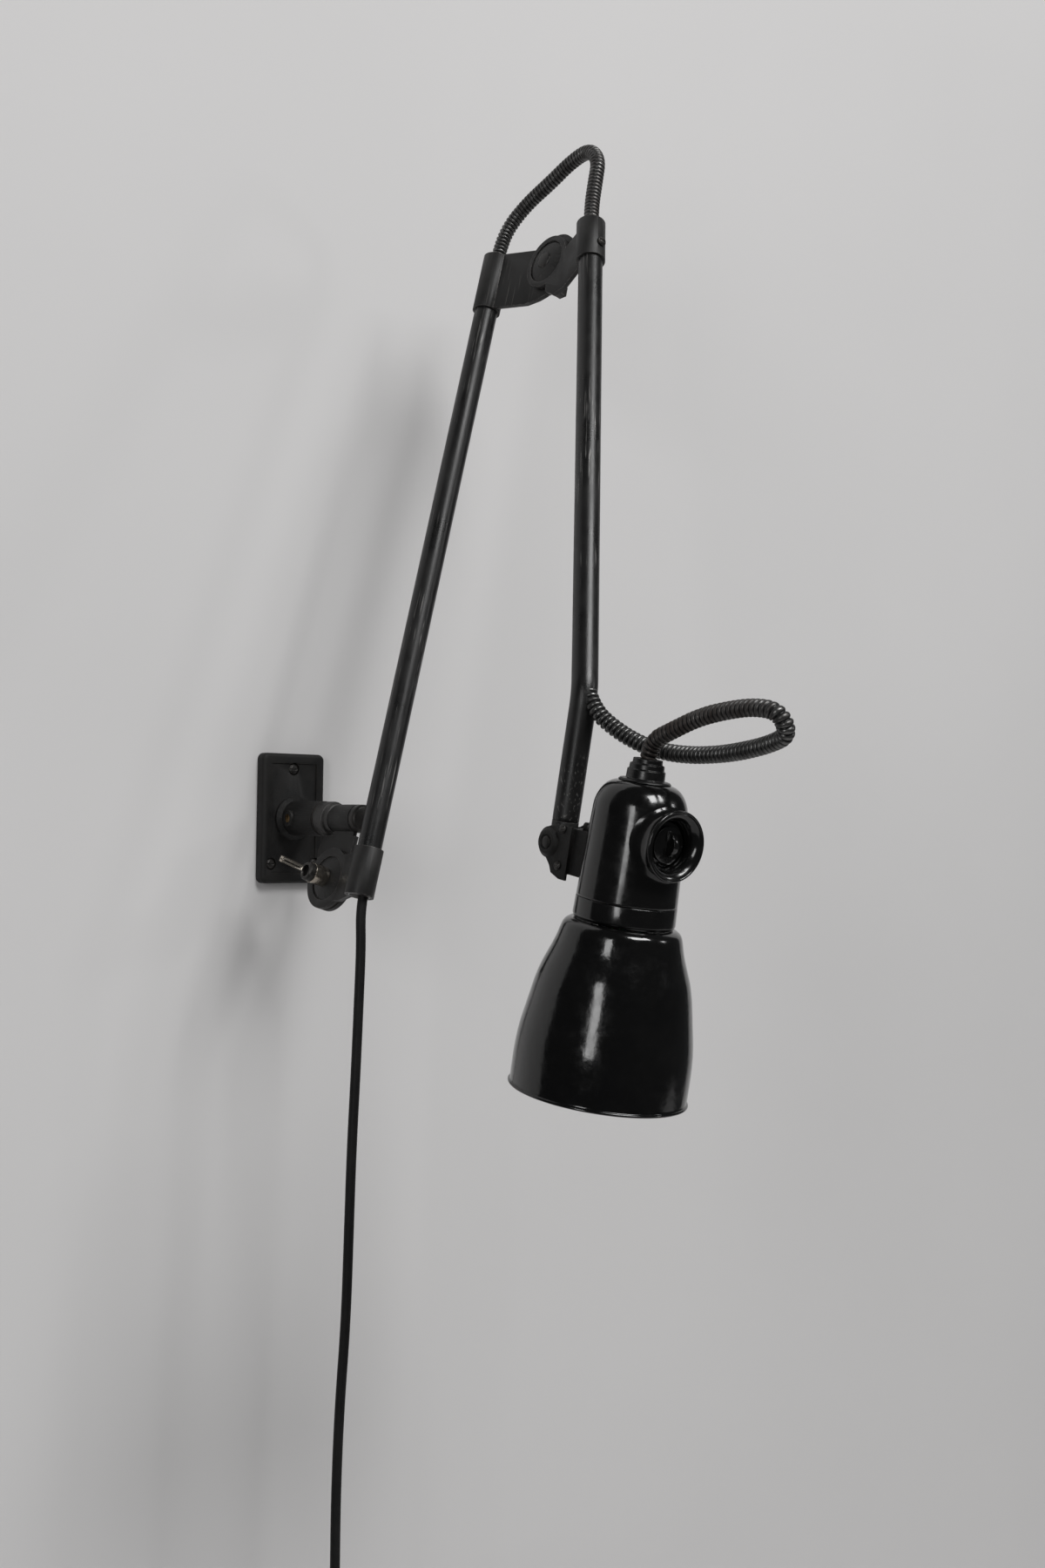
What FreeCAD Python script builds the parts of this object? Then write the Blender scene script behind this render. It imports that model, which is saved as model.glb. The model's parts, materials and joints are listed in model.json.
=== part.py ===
import FreeCAD, Part
import math
import os
from FreeCAD import Vector

os.makedirs("parts", exist_ok=True)

# Articulating wall lamp, millimetres. The wall is the plane Y = 0, the room is on its -Y side, and the
# origin is the centre of the wall plate's back face, on the axis of the swivel stud. The arm is laid out
# in its own upright plane as (across, out from the wall, up) and then leaned about the stud's axis.
arm_lean = 16.45

# wall plate, its boss and the fixed stud
plate_width, plate_height, plate_thickness, plate_corner = 51.0, 91.0, 8.0, 4.5
boss_radius, boss_end = 12.0, 46.5
stud_radius, stud_end, stud_bore_start = 5.0, 93.0, 14.0
lock_pad_radius, lock_pad_out, lock_pad_reach = 5.6, 20.0, 13.6
wall_screw_x, upper_screw_z, lower_screw_z = 18.0, 34.5, -32.0
wall_screw_hole, wall_screw_neck, wall_screw_radius, wall_screw_reach = 2.2, 1.8, 2.0, 24.0

# sheet straps, tubes and friction discs
sheet, ply_pair = 1.6, 3.2
tube_radius, tube_bore = 8.0, 6.5
strap_gap = 0.05
washer_thickness = 2.0
cup_radius, cup_rise, cup_top = 14.8, 3.4, 8.6
bolt_radius, bolt_gap, strap_screw_radius = 4.0, 0.05, 1.9

# swivel sleeve on the stud and the strap that clamps it
sleeve_start, collar_end, sleeve_end = 47.8, 58.5, 87.0
collar_radius, sleeve_radius = 11.7, 8.0
swivel_strap_start = 64.0
tail_inner_out, tail_outer_out, tail_top_up = 51.0, 90.0, -12.3
cap_nut_radius, cap_nut_height = 9.6, 6.5

# base joint and lower arm, in the arm's plane
base_out, base_up, base_disc = 77.2, -43.5, 21.0
lower_across = -13.25
lower_foot, lower_head = (128.96, -56.3), (98.5, 409.5)
lower_clamp_height, elbow_clamp_height = 32.0, 42.0
nut_spacer, nut_length, nut_radius = 6.6, 9.2, 6.2
lever_tip_reach, lever_tip_rise, lever_thick, lever_wide = 21.5, 8.0, 3.8, 8.0

# elbow joint and upper arm, in the arm's plane
elbow_out, elbow_up, rear_disc, front_disc = 154.5, 395.5, 22.7, 19.0
upper_across = -16.85
upper_head, upper_bend_at = (201.1, 409.1), (308.0, 73.4)
upper_clamp_height, upper_bend_radius = 31.0, 34.0
wing_reach, wing_wide, wing_top = 18.0, 6.5, 10.0

# lamp head: turned about X and Y, its pivot on the tube's lower run, its own axis this far in front
head_tilt, head_side_lean = 9.6, 1.8
pivot_down_run, tube_above_pivot, tube_plug = 89.6, 13.0, 14.0
head_offset = 62.2
knuckle_radius, knuckle_half = 9.9, 8.4
head_radius_top, head_radius_seam, head_wall = 27.2, 29.2, 3.0
gland_top, gland_base = 59.5, 46.5
shoulder_level, seam_level, collar_foot = 32.0, -22.0, -34.9
rim_level, rim_radius, shade_wall, glass_wall = -135.2, 51.2, 0.9, 1.0
switch_level, switch_reach, cup_rim_radius, switch_yaw = 15.0, 35.3, 20.4, -2.5
cheek_cup, cheek_top, cheek_foot, cheek_edge = 9.3, 12.0, -19.7, -18.6
cheek_screw_y, cheek_screw_levels, lug_screw_levels = -11.0, (9.6, -12.2), (4.0, -12.0)
tilt_pin_radius, tilt_limit = 2.8, 20

# flexible parts
hose_radius, hose_valley, hose_bore = 5.15, 4.45, 3.4
elbow_rib, loop_rib = 2.76, 3.3
cord_radius, cable_radius, bush_length, bush_offset = 3.2, 2.6, 9.0, 2.4
coil_radius, coil_pitch, coil_turns, coil_level = 36.0, 7.4, 5, -560.0
coil_tail = 70.0
plug_radius, plug_length, pin_radius, pin_length, pin_spacing = 17.0, 36.0, 2.4, 19.0, 19.0

X, Y, Z = Vector(1, 0, 0), Vector(0, 1, 0), Vector(0, 0, 1)
ORIGIN = Vector(0, 0, 0)


# ---- frames and small shapes ----

def turned(vector, axis, degrees):
    return FreeCAD.Rotation(axis, degrees).multVec(vector)


def arm(across, out, up):
    """A point of the arm's plane, leaned with the arm."""
    return turned(Vector(across, -out, up), Y, arm_lean)


def arm_way(across, out, up):
    return arm(across, out, up).normalize()


def frame(origin, x_way, z_way):
    """A placement with its Z along z_way and its X as near x_way as it can be."""
    z_axis = Vector(z_way).normalize()
    y_axis = z_axis.cross(x_way).normalize()
    x_axis = y_axis.cross(z_axis)
    return FreeCAD.Placement(FreeCAD.Matrix(
        x_axis.x, y_axis.x, z_axis.x, origin.x,
        x_axis.y, y_axis.y, z_axis.y, origin.y,
        x_axis.z, y_axis.z, z_axis.z, origin.z,
        0, 0, 0, 1))


def put(shape, place):
    moved = shape.copy()
    moved.Placement = place.multiply(moved.Placement)
    return moved


def rod(radius, start, end):
    return Part.makeCylinder(radius, (end - start).Length, start, end - start)


def sleeve(outer, inner, start, end):
    return rod(outer, start, end).cut(rod(inner, start, end))


def turning(profile, axis_way=Z, at=ORIGIN):
    """Turns (radius, height) points about Z, then stands that axis along axis_way at a point."""
    points = [Vector(radius, 0, height) for radius, height in profile]
    face = Part.Face(Part.makePolygon(points + points[:1]))
    return put(face.revolve(ORIGIN, Z, 360), stand(at, axis_way))


def stand(at, axis_way):
    helper = X if abs(Vector(axis_way).normalize().x) < 0.9 else Y
    return frame(at, helper, axis_way)


def prism(points, way):
    return Part.Face(Part.makePolygon(points + points[:1])).extrude(way)


def box(low, high):
    size = high - low
    return Part.makeBox(size.x, size.y, size.z, low)


def pan_screw(at, way, head_radius, head_height, shank_radius, shank_length):
    """A slotted pan head standing along way from at, its shank going the other way."""
    head = turning([(0, 0), (head_radius, 0), (head_radius, head_height * 0.45),
                    (head_radius * 0.6, head_height), (0, head_height)])
    slot = box(Vector(-head_radius, -0.5, head_height * 0.55), Vector(head_radius, 0.5, head_height))
    shank = Part.makeCylinder(shank_radius, shank_length, Vector(0, 0, -shank_length))
    return put(head.cut(slot).fuse(shank), stand(at, way))


saved = {}


def save(name, shape):
    if shape.ShapeType == "Compound" and len(shape.Solids) == 1:
        shape = shape.Solids[0]
    shape.exportStep("parts/" + name + ".step")
    saved[name] = shape
    print(f"{name:24s} solids {len(shape.Solids)}  volume {shape.Volume:10.1f}  valid {shape.isValid()}")


# ---- routes of straight runs and tangent arcs ----

def route(points, name):
    """A wire of runs joined by arcs, each arc 0.45 of its shorter run over tan(half the turn)."""
    edges, radii, start = [], [], points[0]
    for before, corner, after in zip(points, points[1:], points[2:]):
        back, ahead = (before - corner), (after - corner)
        shorter = min(back.Length, ahead.Length)
        turn = math.pi - back.getAngle(ahead)
        reach = 0.45 * shorter
        radius = reach / math.tan(turn / 2)
        back.normalize()
        ahead.normalize()
        first, last = corner + back * reach, corner + ahead * reach
        middle_way = (back + ahead).normalize()
        middle = corner + middle_way * (radius / math.cos(turn / 2) - radius)
        edges += [Part.LineSegment(start, first).toShape(), Part.Arc(first, middle, last).toShape()]
        radii.append(radius)
        start = last
    edges.append(Part.LineSegment(start, points[-1]).toShape())
    wire = Part.Wire(edges)
    print(f"{name} route: length {wire.Length:.1f}, radii " + " ".join(f"{r:.0f}" for r in radii))
    return wire


def swept(wire, radius):
    start = wire.Edges[0].valueAt(wire.Edges[0].FirstParameter)
    way = wire.Edges[0].tangentAt(wire.Edges[0].FirstParameter)
    profile = Part.Wire(Part.Circle(start, way, radius).toShape())
    shell = Part.BRepOffsetAPI.MakePipeShell(wire)
    shell.add(profile)
    shell.build()
    shell.makeSolid()
    solid = shell.shape()
    print(f"   tube volume {solid.Volume:.0f}, section times length {math.pi * radius**2 * wire.Length:.0f}")
    return solid


def stations(wire, lengths):
    """Points, tangents and a steadily carried X axis at the given lengths along a wire."""
    found, steady = [], None
    edges, begun = list(wire.Edges), 0.0
    for length in lengths:
        while length > begun + edges[0].Length and len(edges) > 1:
            begun += edges[0].Length
            edges.pop(0)
        edge = edges[0]
        parameter = edge.getParameterByLength(min(length - begun, edge.Length))
        point, tangent = edge.valueAt(parameter), edge.tangentAt(parameter).normalize()
        steady = steady or (X if abs(tangent.x) < 0.8 else Z)
        steady = (steady - tangent * steady.dot(tangent)).normalize()
        found.append((point, tangent, steady))
    return found


def ring_wire(station, radius):
    point, tangent, steady = station
    circle = Part.Circle(point, tangent, radius)
    circle.XAxis = steady
    return Part.Wire(circle.toShape())


def ribbed_hose(wire, pitch):
    """Ribs of four circles each between two plain ends, ruled, with a bore."""
    plain = 2 * hose_radius
    count = int((wire.Length - 2 * plain) / pitch)
    step = (wire.Length - 2 * plain) / count
    marks = [(0.0, hose_valley), (hose_radius, hose_valley)]
    for rib in range(count):
        rib_start = plain + rib * step
        marks += [(rib_start, hose_valley), (rib_start + 0.18 * step, hose_radius),
                  (rib_start + 0.62 * step, hose_radius), (rib_start + 0.80 * step, hose_valley)]
    marks += [(wire.Length - hose_radius, hose_valley), (wire.Length, hose_valley)]
    places = stations(wire, [length for length, _ in marks])
    outside = Part.makeLoft([ring_wire(p, r) for p, (_, r) in zip(places, marks)], True, True)
    solid = outside.cut(swept(wire, hose_bore))
    print(f"   {count} ribs, pitch {step:.2f}, outside valid {outside.isValid()}")
    return solid


# ---- the straps: a ring rolled round a tube, with a tail that ends in a cupped friction disc ----

def tangent_point(corner, centre, radius, side):
    """Where the line from a corner touches a circle, on the given side; points are (y, z) pairs."""
    dy, dz = corner[0] - centre[0], corner[1] - centre[1]
    angle = math.atan2(dz, dy) + side * math.acos(radius / math.hypot(dy, dz))
    return centre[0] + radius * math.cos(angle), centre[1] + radius * math.sin(angle)


def cup(rise_way):
    """The dished middle of a friction disc: its rim lies at height 0 and it rises along rise_way."""
    profile = [(cup_radius + 0.5, 0), (cup_top, cup_rise), (bolt_radius + bolt_gap, cup_rise),
               (bolt_radius + bolt_gap, cup_rise + sheet), (cup_top + 0.8, cup_rise + sheet),
               (cup_radius + 1.3, sheet), (cup_radius + 1.3, 0)]
    return turning(profile, X * rise_way)


def band_tail(start, low, high, disc_at, disc_radius):
    """Outline of a tail as wide as its ring is tall, square to the tube, that runs into the disc."""
    reach, level = disc_at
    side = 1 if reach > 0 else -1
    ends = []
    for edge, turn_side in ((low, side), (high, -side)):
        if abs(edge - level) < disc_radius:
            ends.append([(reach, edge)])
            continue
        corner = (reach - side * 0.35 * disc_radius, edge)
        ends.append([corner, tangent_point(corner, disc_at, disc_radius, turn_side)])
    return [(start, low)] + ends[0] + ends[1][::-1] + [(start, high)]


def strap(height, disc_at, disc_radius, rise_way, bore, disc_x, tail=None):
    """Local frame: Z along the tube, ring centred on it. The sheet's two ends leave the ring together in
    its middle plane and bend across to the plane X = disc_x, where they carry the friction disc.
    """
    reach, level = disc_at
    side = 1 if reach > 0 else -1
    inner = bore + strap_gap
    outer = inner + sheet
    low, high = -height / 2, height / 2
    ring = sleeve(outer, inner, Vector(0, 0, low), Vector(0, 0, high))
    outline = tail or band_tail(0.0, low, high, disc_at, disc_radius)
    bend_start, bend_end = side * (outer + 1.0), reach - side * (disc_radius - 2.0)
    bent = [(0, 0), (0, bend_start), (disc_x, bend_end), (disc_x, reach)]
    section = [Vector(x - sheet, y, -80) for x, y in bent] + [Vector(x + sheet, y, -80) for x, y in bent[::-1]]
    cutter = prism([Vector(-20, y, z) for y, z in outline], X * 40)
    blank = prism(section, Z * 160).common(cutter)
    face = Vector(disc_x - sheet, reach, level)
    disc = Part.makeCylinder(disc_radius, ply_pair, face, X)
    hollow = Part.makeCylinder(cup_radius + 0.5, ply_pair, face, X)
    dish = cup(rise_way).translate(face if rise_way > 0 else face + X * ply_pair)
    shape = blank.cut(rod(inner, Vector(0, 0, low), Vector(0, 0, high))).fuse(ring).fuse(disc)
    shape = shape.cut(hollow).fuse(dish)
    slit_start, slit_end = sorted((side * (inner - 1), bend_start))
    shape = shape.cut(box(Vector(-0.2, slit_start, low), Vector(0.2, slit_end, high)))
    return shape.removeSplitter()


def friction_washer(at, disc_radius):
    """A flat fibre ring between two friction discs, rising across the arm's plane."""
    across = arm_way(1, 0, 0)
    return sleeve(disc_radius, cup_radius, at, at + across * washer_thickness)


def strap_disc_at(place, joint):
    """The joint's (y, z) in a strap's own frame."""
    local = place.inverse().multVec(joint)
    return local.y, local.z


# ---- wall plate, stud and swivel ----

def wall_side():
    half_width, half_height = plate_width / 2, plate_height / 2
    front = -plate_thickness
    plate = box(Vector(-half_width, front, -half_height), Vector(half_width, 0, half_height))
    upright = [e for e in plate.Edges if abs(e.Length - plate_thickness) < 0.01]
    plate = plate.makeFillet(plate_corner, upright)
    front_edges = [e for e in plate.Edges if e.CenterOfMass.y < front + 0.01]
    plate = plate.makeFillet(2.6, front_edges)
    recess = box(Vector(-half_width + 7, front, -half_height + 7), Vector(half_width - 7, front + 0.8, half_height - 7))
    plate = plate.cut(recess)
    boss = turning([(0, 0), (boss_radius + 3.2, 0), (boss_radius + 3.2, plate_thickness + 1.2),
                    (boss_radius + 0.3, plate_thickness + 3.6), (boss_radius, boss_end), (0, boss_end)], -Y)
    pad_at = Vector(0, -lock_pad_out, 0)
    plate = plate.fuse(boss).fuse(Part.makeCylinder(lock_pad_radius, lock_pad_reach, pad_at, -X))
    holes = [(0, upper_screw_z), (-wall_screw_x, lower_screw_z), (wall_screw_x, lower_screw_z)]
    screws = []
    for x, z in holes:
        sink = 2.6
        plate = plate.cut(Part.makeCylinder(wall_screw_hole, plate_thickness, Vector(x, 0, z), -Y))
        plate = plate.cut(Part.makeCylinder(4.4, sink, Vector(x, front, z), Y))
        screw = pan_screw(Vector(x, front + sink, z), -Y, 3.9, 2.3, wall_screw_neck, plate_thickness - sink)
        screws.append(screw.fuse(Part.makeCylinder(wall_screw_radius, wall_screw_reach, Vector(x, 0, z), Y)))
    plate = plate.cut(Part.makeCylinder(stud_radius, boss_end, Vector(0, -stud_bore_start, 0), -Y))
    lock_radius, lock_length = 3.0, 8.0
    plate = plate.cut(Part.makeCylinder(lock_radius + 0.05, lock_pad_reach, pad_at, -X))
    save("wall_plate", plate.removeSplitter())
    save("wall_screws", Part.makeCompound(screws))
    lock = Part.makeCylinder(lock_radius, lock_length, pad_at - X * (stud_radius + 0.2), -X)
    slot_x = stud_radius + 0.2 + lock_length
    slot = box(Vector(-slot_x, -lock_pad_out - 0.45, -lock_radius), Vector(-slot_x + 1.2, -lock_pad_out + 0.45, lock_radius))
    save("stud_lock_screw", lock.cut(slot))
    save("swivel_stud", rod(stud_radius, Vector(0, -stud_bore_start, 0), Vector(0, -stud_end, 0)))
    save("swivel_washer", sleeve(boss_radius - 0.4, stud_radius + 0.1, Vector(0, -boss_end, 0), Vector(0, -sleeve_start, 0)))
    cap = turning([(stud_radius, 0), (cap_nut_radius, 0), (cap_nut_radius, cap_nut_height - 1.6),
                   (cap_nut_radius - 1.4, cap_nut_height), (0, cap_nut_height + 0.6), (0, cap_nut_height - 1.0),
                   (stud_radius, cap_nut_height - 1.0)], -Y, Vector(0, -sleeve_end - 0.5, 0))
    save("swivel_cap_nut", cap)


def swivel():
    bore = stud_radius + 0.05
    waist = sleeve_radius + 1.9
    body = turning([(bore, sleeve_start), (collar_radius - 0.8, sleeve_start), (collar_radius, sleeve_start + 0.8),
                    (collar_radius, collar_end - 0.8), (collar_radius - 0.8, collar_end), (waist, collar_end),
                    (waist, swivel_strap_start - 1.2), (sleeve_radius, swivel_strap_start - 0.6),
                    (sleeve_radius, sleeve_end), (bore, sleeve_end)], -Y)
    save("swivel_sleeve", put(body, FreeCAD.Placement(ORIGIN, FreeCAD.Rotation(Y, arm_lean))))
    joint = arm(-sheet, base_out, base_up)
    middle = (swivel_strap_start + sleeve_end) / 2
    place = frame(arm(0, middle, 0), arm_way(1, 0, 0), -Y)
    disc_at = strap_disc_at(place, joint)
    height = sleeve_end - swivel_strap_start
    inner_edge, outer_edge, root = tail_inner_out - middle, tail_outer_out - middle, -0.95 * sleeve_radius
    corner = (tail_top_up * 1.9, inner_edge)
    tail = [(root, -height / 2), (tail_top_up, -height / 2), (tail_top_up, inner_edge), corner,
            tangent_point(corner, disc_at, base_disc, -1), (disc_at[0], outer_edge), (tail_top_up, outer_edge),
            (tail_top_up, height / 2), (root, height / 2)]
    save("swivel_strap", put(strap(height, disc_at, base_disc, 1, sleeve_radius, 0.0, tail), place))
    washer_at = arm(-sheet - washer_thickness, base_out, base_up)
    save("base_friction_washer", friction_washer(washer_at, base_disc - 0.5))
    across = arm_way(1, 0, 0)
    head_at = arm(-sheet + cup_rise + sheet, base_out, base_up)
    bolt_end = -sheet - washer_thickness - cup_rise - sheet - nut_spacer - nut_length + 2.4
    bolt = rod(7.0, head_at, head_at + across * 3.0)
    bolt = bolt.fuse(rod(bolt_radius, head_at, arm(bolt_end, base_out, base_up)))
    save("base_pivot_bolt", bolt.removeSplitter())


def lever_nut():
    """A round nut on a spacer, with one thumb lever of doubled strip."""
    across = arm_way(-1, 0, 0)
    seat = -sheet - washer_thickness - cup_rise - sheet
    at = arm(seat, base_out, base_up)
    place = frame(at, arm_way(0, -1, 0.28), across)
    bore = bolt_radius + bolt_gap
    spacer = turning([(bore, 0), (8.0, 0), (8.0, 1.2), (nut_radius + 0.5, 1.6), (nut_radius + 0.2, nut_spacer),
                      (bore, nut_spacer)])
    save("lever_washer", put(spacer, place))
    foot = nut_spacer + 0.1
    top = foot + nut_length
    boss = turning([(bore, foot), (nut_radius, foot), (nut_radius, top - 1.0), (nut_radius - 0.8, top), (bore, top)])
    half, slot_half = lever_wide / 2, 0.45
    root, tip = Vector(nut_radius - 1.6, 0, top - 3.8), Vector(lever_tip_reach, 0, top + lever_tip_rise)
    lean_way = (tip - root).normalize()
    side_way = lean_way.cross(Y)
    round_at = tip - lean_way * half
    lever = Part.makeCylinder(half, lever_thick, round_at - Y * (lever_thick / 2), Y)
    blade = prism([root + side_way * 3.2, round_at + side_way * half, round_at - side_way * half,
                   root - side_way * 3.2], Y * lever_thick).translate(Y * (-lever_thick / 2))
    lever = lever.fuse(blade)
    slot_start, slot_end = root + lean_way * 4.0, tip - lean_way * 1.4
    slot = prism([slot_start + side_way * 12, slot_end + side_way * 12, slot_end - side_way * 12,
                  slot_start - side_way * 12], Y * (2 * slot_half)).translate(Y * -slot_half)
    lever = lever.cut(slot).cut(Part.makeCylinder(bore + 0.4, 40))
    save("lever_nut", put(boss.fuse(lever).removeSplitter(), place))


# ---- lower arm ----

def lower_arm():
    foot, head = arm(lower_across, *lower_foot), arm(lower_across, *lower_head)
    way = (head - foot).normalize()
    across = arm_way(1, 0, 0)
    base_place = frame(foot + way * (lower_clamp_height / 2), across, way)
    base_joint = arm(-sheet - washer_thickness, base_out, base_up)
    disc_x = -sheet - washer_thickness - sheet - lower_across
    save("lower_arm_strap", put(strap(lower_clamp_height, strap_disc_at(base_place, base_joint), base_disc, -1,
                                      tube_radius, disc_x), base_place))
    top_place = frame(head - way * (elbow_clamp_height / 2), across, way)
    elbow_joint = arm(-sheet - washer_thickness, elbow_out, elbow_up)
    hole = strap_screw("elbow_rear_screw", top_place, Y, 0.0)
    elbow_strap = put(strap(elbow_clamp_height, strap_disc_at(top_place, elbow_joint), rear_disc, 1,
                            tube_radius, disc_x), top_place)
    save("elbow_rear_strap", elbow_strap.cut(hole))
    save("lower_tube", sleeve(tube_radius, tube_bore, foot, head))
    aside = turned(X, Z, -40.0)
    aside = (aside - way * aside.dot(way)).normalize()
    cord_at = foot + aside * bush_offset
    bush = rod(tube_bore, foot, foot + way * bush_length)
    save("cord_bush", bush.cut(rod(cord_radius + 0.05, cord_at, cord_at + way * bush_length)))
    return cord_at, way


def strap_screw(name, place, way, level):
    """The screw in a strap's ring that clamps down on the tube, standing along way, and its hole."""
    ring_face = tube_radius + strap_gap + sheet
    at = way * ring_face + Z * level
    screw = pan_screw(at, way, 3.3, 2.4, strap_screw_radius, sheet)
    save(name, put(screw, place))
    hole = Part.makeCylinder(strap_screw_radius + 0.05, 4.0, at - way * 3.0, way)
    return put(hole, place)


def elbow_joint():
    front_washer_x = -sheet - washer_thickness - ply_pair - washer_thickness
    washer_at = arm(front_washer_x, elbow_out, elbow_up)
    save("elbow_friction_washer", friction_washer(washer_at, front_disc - 0.5))
    across = arm_way(1, 0, 0)
    front_face = front_washer_x - cup_rise - sheet
    rear_face = -sheet - washer_thickness - ply_pair + cup_rise + sheet
    head_at = arm(front_face, elbow_out, elbow_up)
    bolt = turning([(0, 0), (6.0, 0), (5.2, 0.9), (2.6, 1.4), (0, 1.4)], -across, head_at)
    bolt = bolt.fuse(rod(bolt_radius, head_at, arm(rear_face + wing_top + 1.5, elbow_out, elbow_up)))
    save("elbow_pivot_bolt", bolt.removeSplitter())
    seat = arm(rear_face, elbow_out, elbow_up)
    bore = bolt_radius + bolt_gap
    save("elbow_wing_washer", sleeve(8.0, bore, seat, seat + across * 1.2))
    wing = turning([(bore, 1.3), (7.4, 1.3), (6.0, 9.5), (bore, 9.5)])
    for side in (1, -1):
        outline = [Vector(side * x, 0, z) for x, z in
                   ((4.4, 2.6), (wing_reach, 4.2), (wing_reach, wing_top), (wing_reach - 6.0, wing_top), (4.4, 8.0))]
        wing = wing.fuse(prism(outline, Y * wing_wide).translate(Y * (-wing_wide / 2)))
    wing = wing.cut(Part.makeCylinder(bore, 30))
    save("elbow_wing_nut", put(wing.removeSplitter(), frame(seat, arm_way(0, 0.1, -1), across)))


# ---- upper arm ----

def head_turn(vector):
    """Turns a vector of the upright head to the head's resting attitude."""
    return turned(turned(vector, X, head_tilt), Y, head_side_lean)


def upper_arm():
    head, bend = arm(upper_across, *upper_head), arm(upper_across, *upper_bend_at)
    way = (head - bend).normalize()
    across = arm_way(1, 0, 0)
    place = frame(head - way * (upper_clamp_height / 2), across, way)
    joint = arm(-sheet - 2 * washer_thickness - ply_pair, elbow_out, elbow_up)
    disc_x = -sheet - 2 * washer_thickness - ply_pair - sheet - upper_across
    hole = strap_screw("elbow_front_screw", place, -Y, -5.0)
    front_strap = put(strap(upper_clamp_height, strap_disc_at(place, joint), front_disc, -1, tube_radius, disc_x), place)
    save("elbow_front_strap", front_strap.cut(hole))
    down = head_turn(-Z)
    pivot = bend + down * pivot_down_run
    tube_end = pivot - down * tube_above_pivot
    turn = way.negative().getAngle(down)
    reach = upper_bend_radius * math.tan(turn / 2)
    first, last = bend + way * reach, bend + down * reach
    middle_way = (way + down).normalize()
    middle = bend + middle_way * (upper_bend_radius / math.cos(turn / 2) - upper_bend_radius)
    path = Part.Wire([Part.LineSegment(head, first).toShape(), Part.Arc(first, middle, last).toShape(),
                      Part.LineSegment(last, tube_end).toShape()])
    tube = swept(path, tube_radius).cut(swept(path, tube_bore))
    outlet_radius = hose_radius + 0.5
    outlet_way = (loop_points()[1] - loop_points()[0]).normalize()
    tube = tube.cut(rod(outlet_radius, loop_points()[0] + outlet_way * 1.0, loop_points()[0] + outlet_way * 60.0))
    bolt_way = head_turn(X)
    save("upper_tube", tube)
    plug_top = tube_end - down * tube_plug
    knuckle = rod(tube_radius, pivot, tube_end).fuse(rod(tube_bore - 0.05, pivot, plug_top))
    knuckle = knuckle.fuse(rod(knuckle_radius, pivot - bolt_way * knuckle_half, pivot + bolt_way * knuckle_half))
    pin_bore = tilt_pin_radius + 0.05
    knuckle = knuckle.cut(rod(pin_bore, pivot - bolt_way * 12, pivot + bolt_way * 12))
    save("tube_end_knuckle", knuckle.removeSplitter())
    return pivot


def loop_points():
    """Hose from the upper tube's bend, out in front of the lamp head and back to the gland on its top."""
    gland = gland_seat()
    up = head_turn(Z)
    inside = arm(upper_across, *upper_bend_at) + Vector(2.2, 2.6, 10.4)
    return [inside, Vector(3.5, -314, 67.0), Vector(12, -330, 51.6), Vector(19, -350, 41.6), Vector(22.5, -374, 37.7),
            Vector(22.5, -400, 37.4), Vector(20.4, -424, 39.2), Vector(18.5, -446, 42.6), Vector(14.0, -461.5, 47.0),
            Vector(6.0, -461.5, 58.6), Vector(4.2, -446, 61.6), Vector(3.8, -425, 60.4), Vector(3.4, -404, 57.2),
            Vector(2.4, -384, 50.4),
            gland + up * 14.0, gland]


def elbow_points():
    """Hose from the lower tube's mouth, up and over to the upper tube's mouth."""
    lower_way = arm_way(0, lower_head[0] - lower_foot[0], lower_head[1] - lower_foot[1])
    upper_way = arm_way(0, upper_head[0] - upper_bend_at[0], upper_head[1] - upper_bend_at[1])
    start, end = arm(lower_across, *lower_head), arm(upper_across, *upper_head)
    return [start - lower_way * 8.0, start + lower_way * 10.0, arm(-14, 104.5, 435.0), arm(-14.5, 121, 448.2),
            arm(-15, 141, 457.6), arm(-15.5, 159.5, 468.4), arm(-16, 177.5, 472.6), arm(-16.4, 191.2, 461),
            arm(-16.7, 193.8, 443), end + upper_way * 13.0, end - upper_way * 8.0]


# ---- lamp head, in its own upright frame with the pivot at the origin ----

def head_place(pivot):
    axis = head_turn(Z)
    return frame(pivot, head_turn(X), axis)


def upper_pivot():
    return arm(upper_across, *upper_bend_at) + head_turn(-Z) * pivot_down_run


def gland_seat():
    """Centre of the face, sunk in the gland's top, that the loop hose stands on."""
    return head_place(upper_pivot()).multVec(Vector(0, -head_offset, gland_top - 4.0))


def head_turning(profile):
    return turning(profile, Z, Vector(0, -head_offset, 0))


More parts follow.
